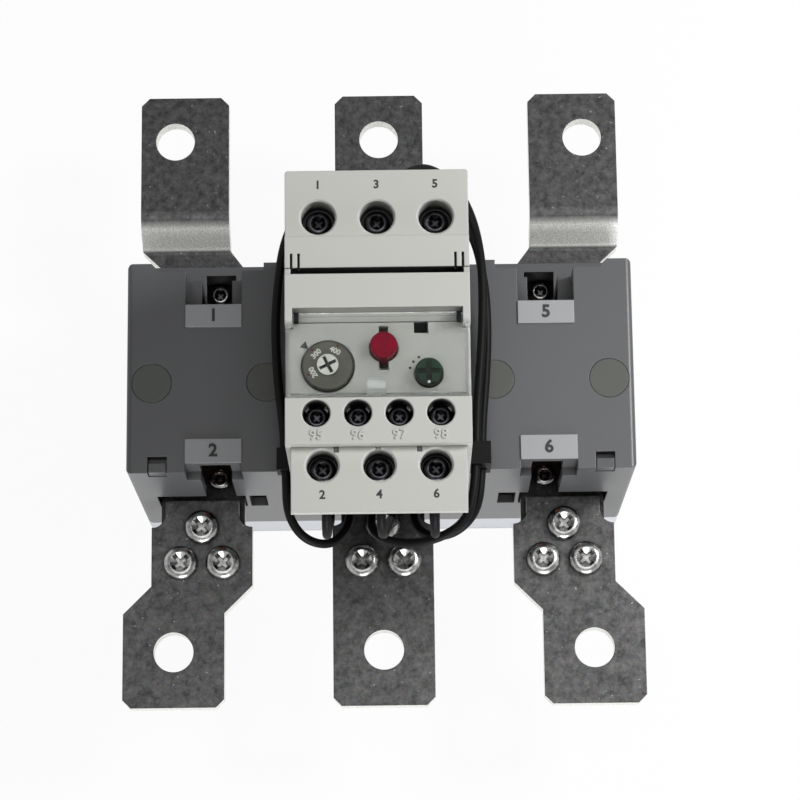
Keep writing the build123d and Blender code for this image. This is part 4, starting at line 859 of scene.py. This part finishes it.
class RELAY_OT_marks(bpy.types.Operator):
    """Print the plain numbers of the main terminals and pads and mould those of the control terminals"""

    bl_idname = "relay.marks"
    bl_label = "Numbers"

    def execute(self, context):
        sizes = context.scene.relay_sizes
        ink = PALETTE["ink"] = printed("dark grey marking ink", "3A3A3A")
        terminal = {
            "level": top_of("load_block"), "height": sizes.figure, "relief": PRINT_FILM,
            "material": ink, "slot": "head",
        }
        self.row("line", "135", LINE_X, LINE_FIGURE_Y, **terminal)
        self.row("load", "246", LOAD_X, LOAD_FIGURE_Y, **terminal)
        self.row(
            "aux", ("95", "96", "97", "98"), AUX_X, AUX_FIGURE_Y, level=top_of("aux_block"),
            height=1.15 * sizes.figure, relief=sizes.relief, material=PALETTE["shell"], slot="head",
        )
        pad = {
            "level": top_of("ct_housing"), "height": 3.4 * MM, "relief": 0.12 * MM,
            "material": ink, "slot": "housing",
        }
        self.row("line_pad", "15", PAD_X, LINE_PAD_Y, **pad)
        self.row("load_pad", "26", PAD_X, LOAD_PAD_Y, **pad)
        return {"FINISHED"}

    def row(self, name, texts, places, y, level, height, relief, material, slot):
        """Set a number at each place across one row."""
        for text, x in zip(texts, places):
            place = (x * MM, y * MM, level)
            own(figure(text, place, height, f"{name}_figure_{text}", material, relief), "relay")


# Marks round the dial and the reset knob: radii in millimetres and angles in degrees
DIAL_SCALE = {"400": 63, "300": 135, "200": 207}
NUMBER_RADIUS, DOT_RADIUS = 3.95, 5.35
POINTER_RADIUS, POINTER_ANGLE, POINTER_TURN = 7.7, 137.4, -132.6
RESET_DOTS, RESET_DOT_RADIUS = (162, 141, 120), 4.8


class RELAY_OT_controls(bpy.types.Operator):
    """Mark the dial and the reset knob, and fit the cover's thumb lip and the black bushes of its rod,
    which also stand in for shade
    """

    bl_idname = "relay.controls"
    bl_label = "Control marks"

    def execute(self, context):
        ink = PALETTE["ink"]
        white = printed("white marking ink", "D8D8D2")
        red = printed("dark red marking ink", "5E1414")
        panel = top_of("current_dial") - 2.1 * MM
        scale = top_of("current_dial") - 0.6 * MM
        for text, angle in DIAL_SCALE.items():
            place = (*self.polar(DIAL, NUMBER_RADIUS, angle), scale)
            turn = math.radians(angle - 90)
            number = figure(text, place, 1.3 * MM, "dial_figure_" + text, white, PRINT_FILM, turn)
            own(number, "dial")
            place = self.polar(DIAL, DOT_RADIUS, angle)
            dot = self.spot("dial_dot_" + text, place, scale, 0.3 * MM, red)
            own(dot, "dial")
        pointer = self.spot(
            "dial_pointer", self.polar(DIAL, POINTER_RADIUS, POINTER_ANGLE), panel, 1.25 * MM, ink,
            vertices=3, turn=POINTER_TURN,
        )
        own(pointer, "relay")
        for index, angle in enumerate(RESET_DOTS):
            place = self.polar(KNOB, RESET_DOT_RADIUS, angle)
            dot = self.spot(f"reset_dot_{index}", place, panel, 0.34 * MM, ink)
            own(dot, "relay")
        knob_x, knob_y, knob_face = KNOB[0] * MM, KNOB[1] * MM, top_of("reset_knob")
        arrow = self.spot(
            "knob_arrow", (knob_x, knob_y + 1.9 * MM), knob_face, 1.15 * MM,
            printed("black green ink", "101C15"), vertices=3,
        )
        own(arrow, "knob")
        tick = self.spot(
            "knob_tick", (knob_x, knob_y - 2.75 * MM), knob_face, 0.45 * MM, white, vertices=4, turn=45
        )
        own(tick, "knob")
        own(self.thumb_lip("cover_thumb_lip"), "lid")
        # The black bushes stand partly in for the shade in the gaps at the hinge's ends
        for side, name in ((-1, "hinge_bush_shade_left"), (1, "hinge_bush_shade_right")):
            own(self.bush_and_shade(name, side), "lid")
        return {"FINISHED"}

    def polar(self, centre, radius, angle):
        """Point at a radius in millimetres and an angle in degrees round a centre, in metres."""
        turn = math.radians(angle)
        return (centre[0] + radius * math.cos(turn)) * MM, (centre[1] + radius * math.sin(turn)) * MM

    def spot(self, name, place, level, radius, material, vertices=20, turn=0.0):
        """Print a thin round, square or three-cornered mark with a softened rim."""
        mark = new_cylinder(name, radius, 0.05 * MM, (0, 0, 0), vertices)
        edit_ends(mark, bpy.ops.mesh.inset, thickness=radius * 0.12, depth=0.01 * MM)
        mark.data.transform(Matrix.Rotation(math.radians(turn), 4, "Z"))
        mark.data.transform(Matrix.Translation((*place, level)))
        mark.data.materials.append(material)
        return mark

    def thumb_lip(self, name):
        """Shape the frosted lip that a thumb lifts the cover by."""
        clear_selection()
        bpy.ops.mesh.primitive_cube_add(
            size=1, location=(-0.4 * MM, -24.6 * MM, top_of("cover") - 0.22 * MM)
        )
        lip = bpy.context.object
        lip.name = name
        lip.scale = (4.2 * MM, 2.2 * MM, 0.4 * MM)
        settle(lip)
        edit_ends(lip, bpy.ops.mesh.bevel, offset=0.18 * MM, segments=3)
        lip.data.materials.append(frosted_polycarbonate())
        return lip

    def bush_and_shade(self, name, side):
        """Turn a flanged black bush on one end of the cover's rod; it also stands in for the shade in the
        gap beside the hinge.
        """
        bush = new_cylinder(name, 1.4 * MM, 1.1 * MM, (0, 0, 0), vertices=32)
        edit_ends(bush, bpy.ops.mesh.bevel, both=True, offset=0.18 * MM, segments=3)
        bush.data.transform(Matrix.Rotation(math.radians(90), 4, "Y"))
        bush.data.transform(Matrix.Translation((side * HINGE_END * MM, HINGE_Y * MM, HINGE_Z * MM)))
        bush.data.materials.append(PALETTE["black"])
        return bush


# Square lamps: place and size in metres and power in watts, all aimed at one point in the relay
LAMPS = {
    "key softbox": ((0.38, 0.1, 0.56), 0.15, 2.8),
    "line side lamp": ((0.25, 0.62, 0.42), 0.1, 0.5),
    "top softbox": ((0, -0.15, 1.1), 0.6, 2.3),
    "load side card": ((0.1, -0.9, 0.2), 0.5, 6.6),
}
LAMP_AIM = (0, 0, 0.08)

# Camera of the photograph: place in millimetres, tilt and roll in degrees
CAMERA_PLACE = (5.2, -189.9, 853)
CAMERA_TILT, CAMERA_ROLL = 13.2, 0.7


class RELAY_OT_stage(bpy.types.Operator):
    """Set the floor, lamps, world and camera"""

    bl_idname = "relay.stage"
    bl_label = "Stage"

    def execute(self, context):
        scene = context.scene
        scene.view_settings.view_transform = "Standard"
        clear_selection()
        bpy.ops.mesh.primitive_plane_add(size=6, location=(0, 0, -0.2 * MM))
        floor = context.object
        floor.name = "floor"
        settle(floor)
        floor.data.materials.append(white_card("white card", "F4F4F4", 0.06))
        self.world(scene)
        for name, (place, size, power) in LAMPS.items():
            self.lamp(name, place, size, power)
        self.camera(scene)
        return {"FINISHED"}

    def world(self, scene):
        """Surround the relay with a studio that reflects brightly and lights faintly."""
        world = bpy.data.worlds.new("studio")
        world.use_nodes = True
        scene.world = world
        tree = world.node_tree
        tree.nodes.clear()
        way = add_node(tree, "ShaderNodeTexCoord")
        split = add_node(tree, "ShaderNodeSeparateXYZ", {"Vector": way.outputs["Generated"]})
        ceiling = add_node(
            tree, "ShaderNodeMapRange",
            {
                "From Min": 0.35, "From Max": 0.85, "To Min": 1.0, "To Max": 0.45,
                "Value": split.outputs["Z"],
            },
        )
        strength = add_node(
            tree, "ShaderNodeMix",
            {"Factor": seen_directly(tree), "A": 0.06, "B": ceiling.outputs["Result"]},
        )
        light = add_node(
            tree, "ShaderNodeBackground", {"Color": (1, 1, 1, 1), "Strength": strength.outputs["Result"]}
        )
        add_node(tree, "ShaderNodeOutputWorld", {"Surface": light.outputs["Background"]})

    def lamp(self, name, place, size, power):
        """Add a square soft lamp aimed at the relay."""
        aim = Vector(LAMP_AIM) - Vector(place)
        clear_selection()
        bpy.ops.object.light_add(type="AREA", location=place)
        lamp = bpy.context.object
        lamp.name = name
        lamp.data.size = size
        lamp.data.energy = power
        lamp.rotation_euler = aim.to_track_quat("-Z", "Y").to_euler()

    def camera(self, scene):
        """Place the camera where the photograph was taken from."""
        tilt, roll = math.radians(CAMERA_TILT), math.radians(CAMERA_ROLL)
        across = Vector((1, 0, 0))
        up = Vector((0, math.cos(tilt), math.sin(tilt)))
        ahead = Vector((0, math.sin(tilt), -math.cos(tilt)))
        right = across * math.cos(roll) - up * math.sin(roll)
        top = across * math.sin(roll) + up * math.cos(roll)
        data = bpy.data.cameras.new("camera")
        data.sensor_width = 36
        data.lens = scene.relay_sizes.lens
        data.clip_start, data.clip_end = 0.05, 20
        camera = bpy.data.objects.new("camera", data)
        scene.collection.objects.link(camera)
        matrix = Matrix((right, top, -ahead)).transposed().to_4x4()
        matrix.translation = Vector(CAMERA_PLACE) * MM
        camera.matrix_world = matrix
        scene.camera = camera


class RELAY_PT_panel(bpy.types.Panel):
    """Lists the relay's operators and values"""

    bl_label = "Overload relay"
    bl_idname = "RELAY_PT_panel"
    bl_space_type = "VIEW_3D"
    bl_region_type = "UI"
    bl_category = "Relay"

    def draw(self, context):
        for name in STEPS:
            self.layout.operator(f"relay.{name}")
        for group in (context.scene.relay_colours, context.scene.relay_sizes):
            for name in group.bl_rna.properties.keys():
                if name not in ("rna_type", "name"):
                    self.layout.prop(group, name)


STEPS = ("stage", "finishes", "leads", "screws", "marks", "controls")
CLASSES = (
    RelayColours, RelaySizes, RELAY_OT_stage, RELAY_OT_finishes, RELAY_OT_leads, RELAY_OT_screws,
    RELAY_OT_marks, RELAY_OT_controls, RELAY_PT_panel,
)


def register():
    for item in CLASSES:
        bpy.utils.register_class(item)
    bpy.types.Scene.relay_colours = bpy.props.PointerProperty(type=RelayColours)
    bpy.types.Scene.relay_sizes = bpy.props.PointerProperty(type=RelaySizes)


def unregister():
    del bpy.types.Scene.relay_sizes
    del bpy.types.Scene.relay_colours
    for item in reversed(CLASSES):
        bpy.utils.unregister_class(item)


def main():
    """Build every piece in order."""
    register()
    for name in STEPS:
        if getattr(bpy.ops.relay, name)() != {"FINISHED"}:
            raise RuntimeError(f"{name} did not finish")
    bpy.context.view_layer.update()


if __name__ == "__main__":
    main()
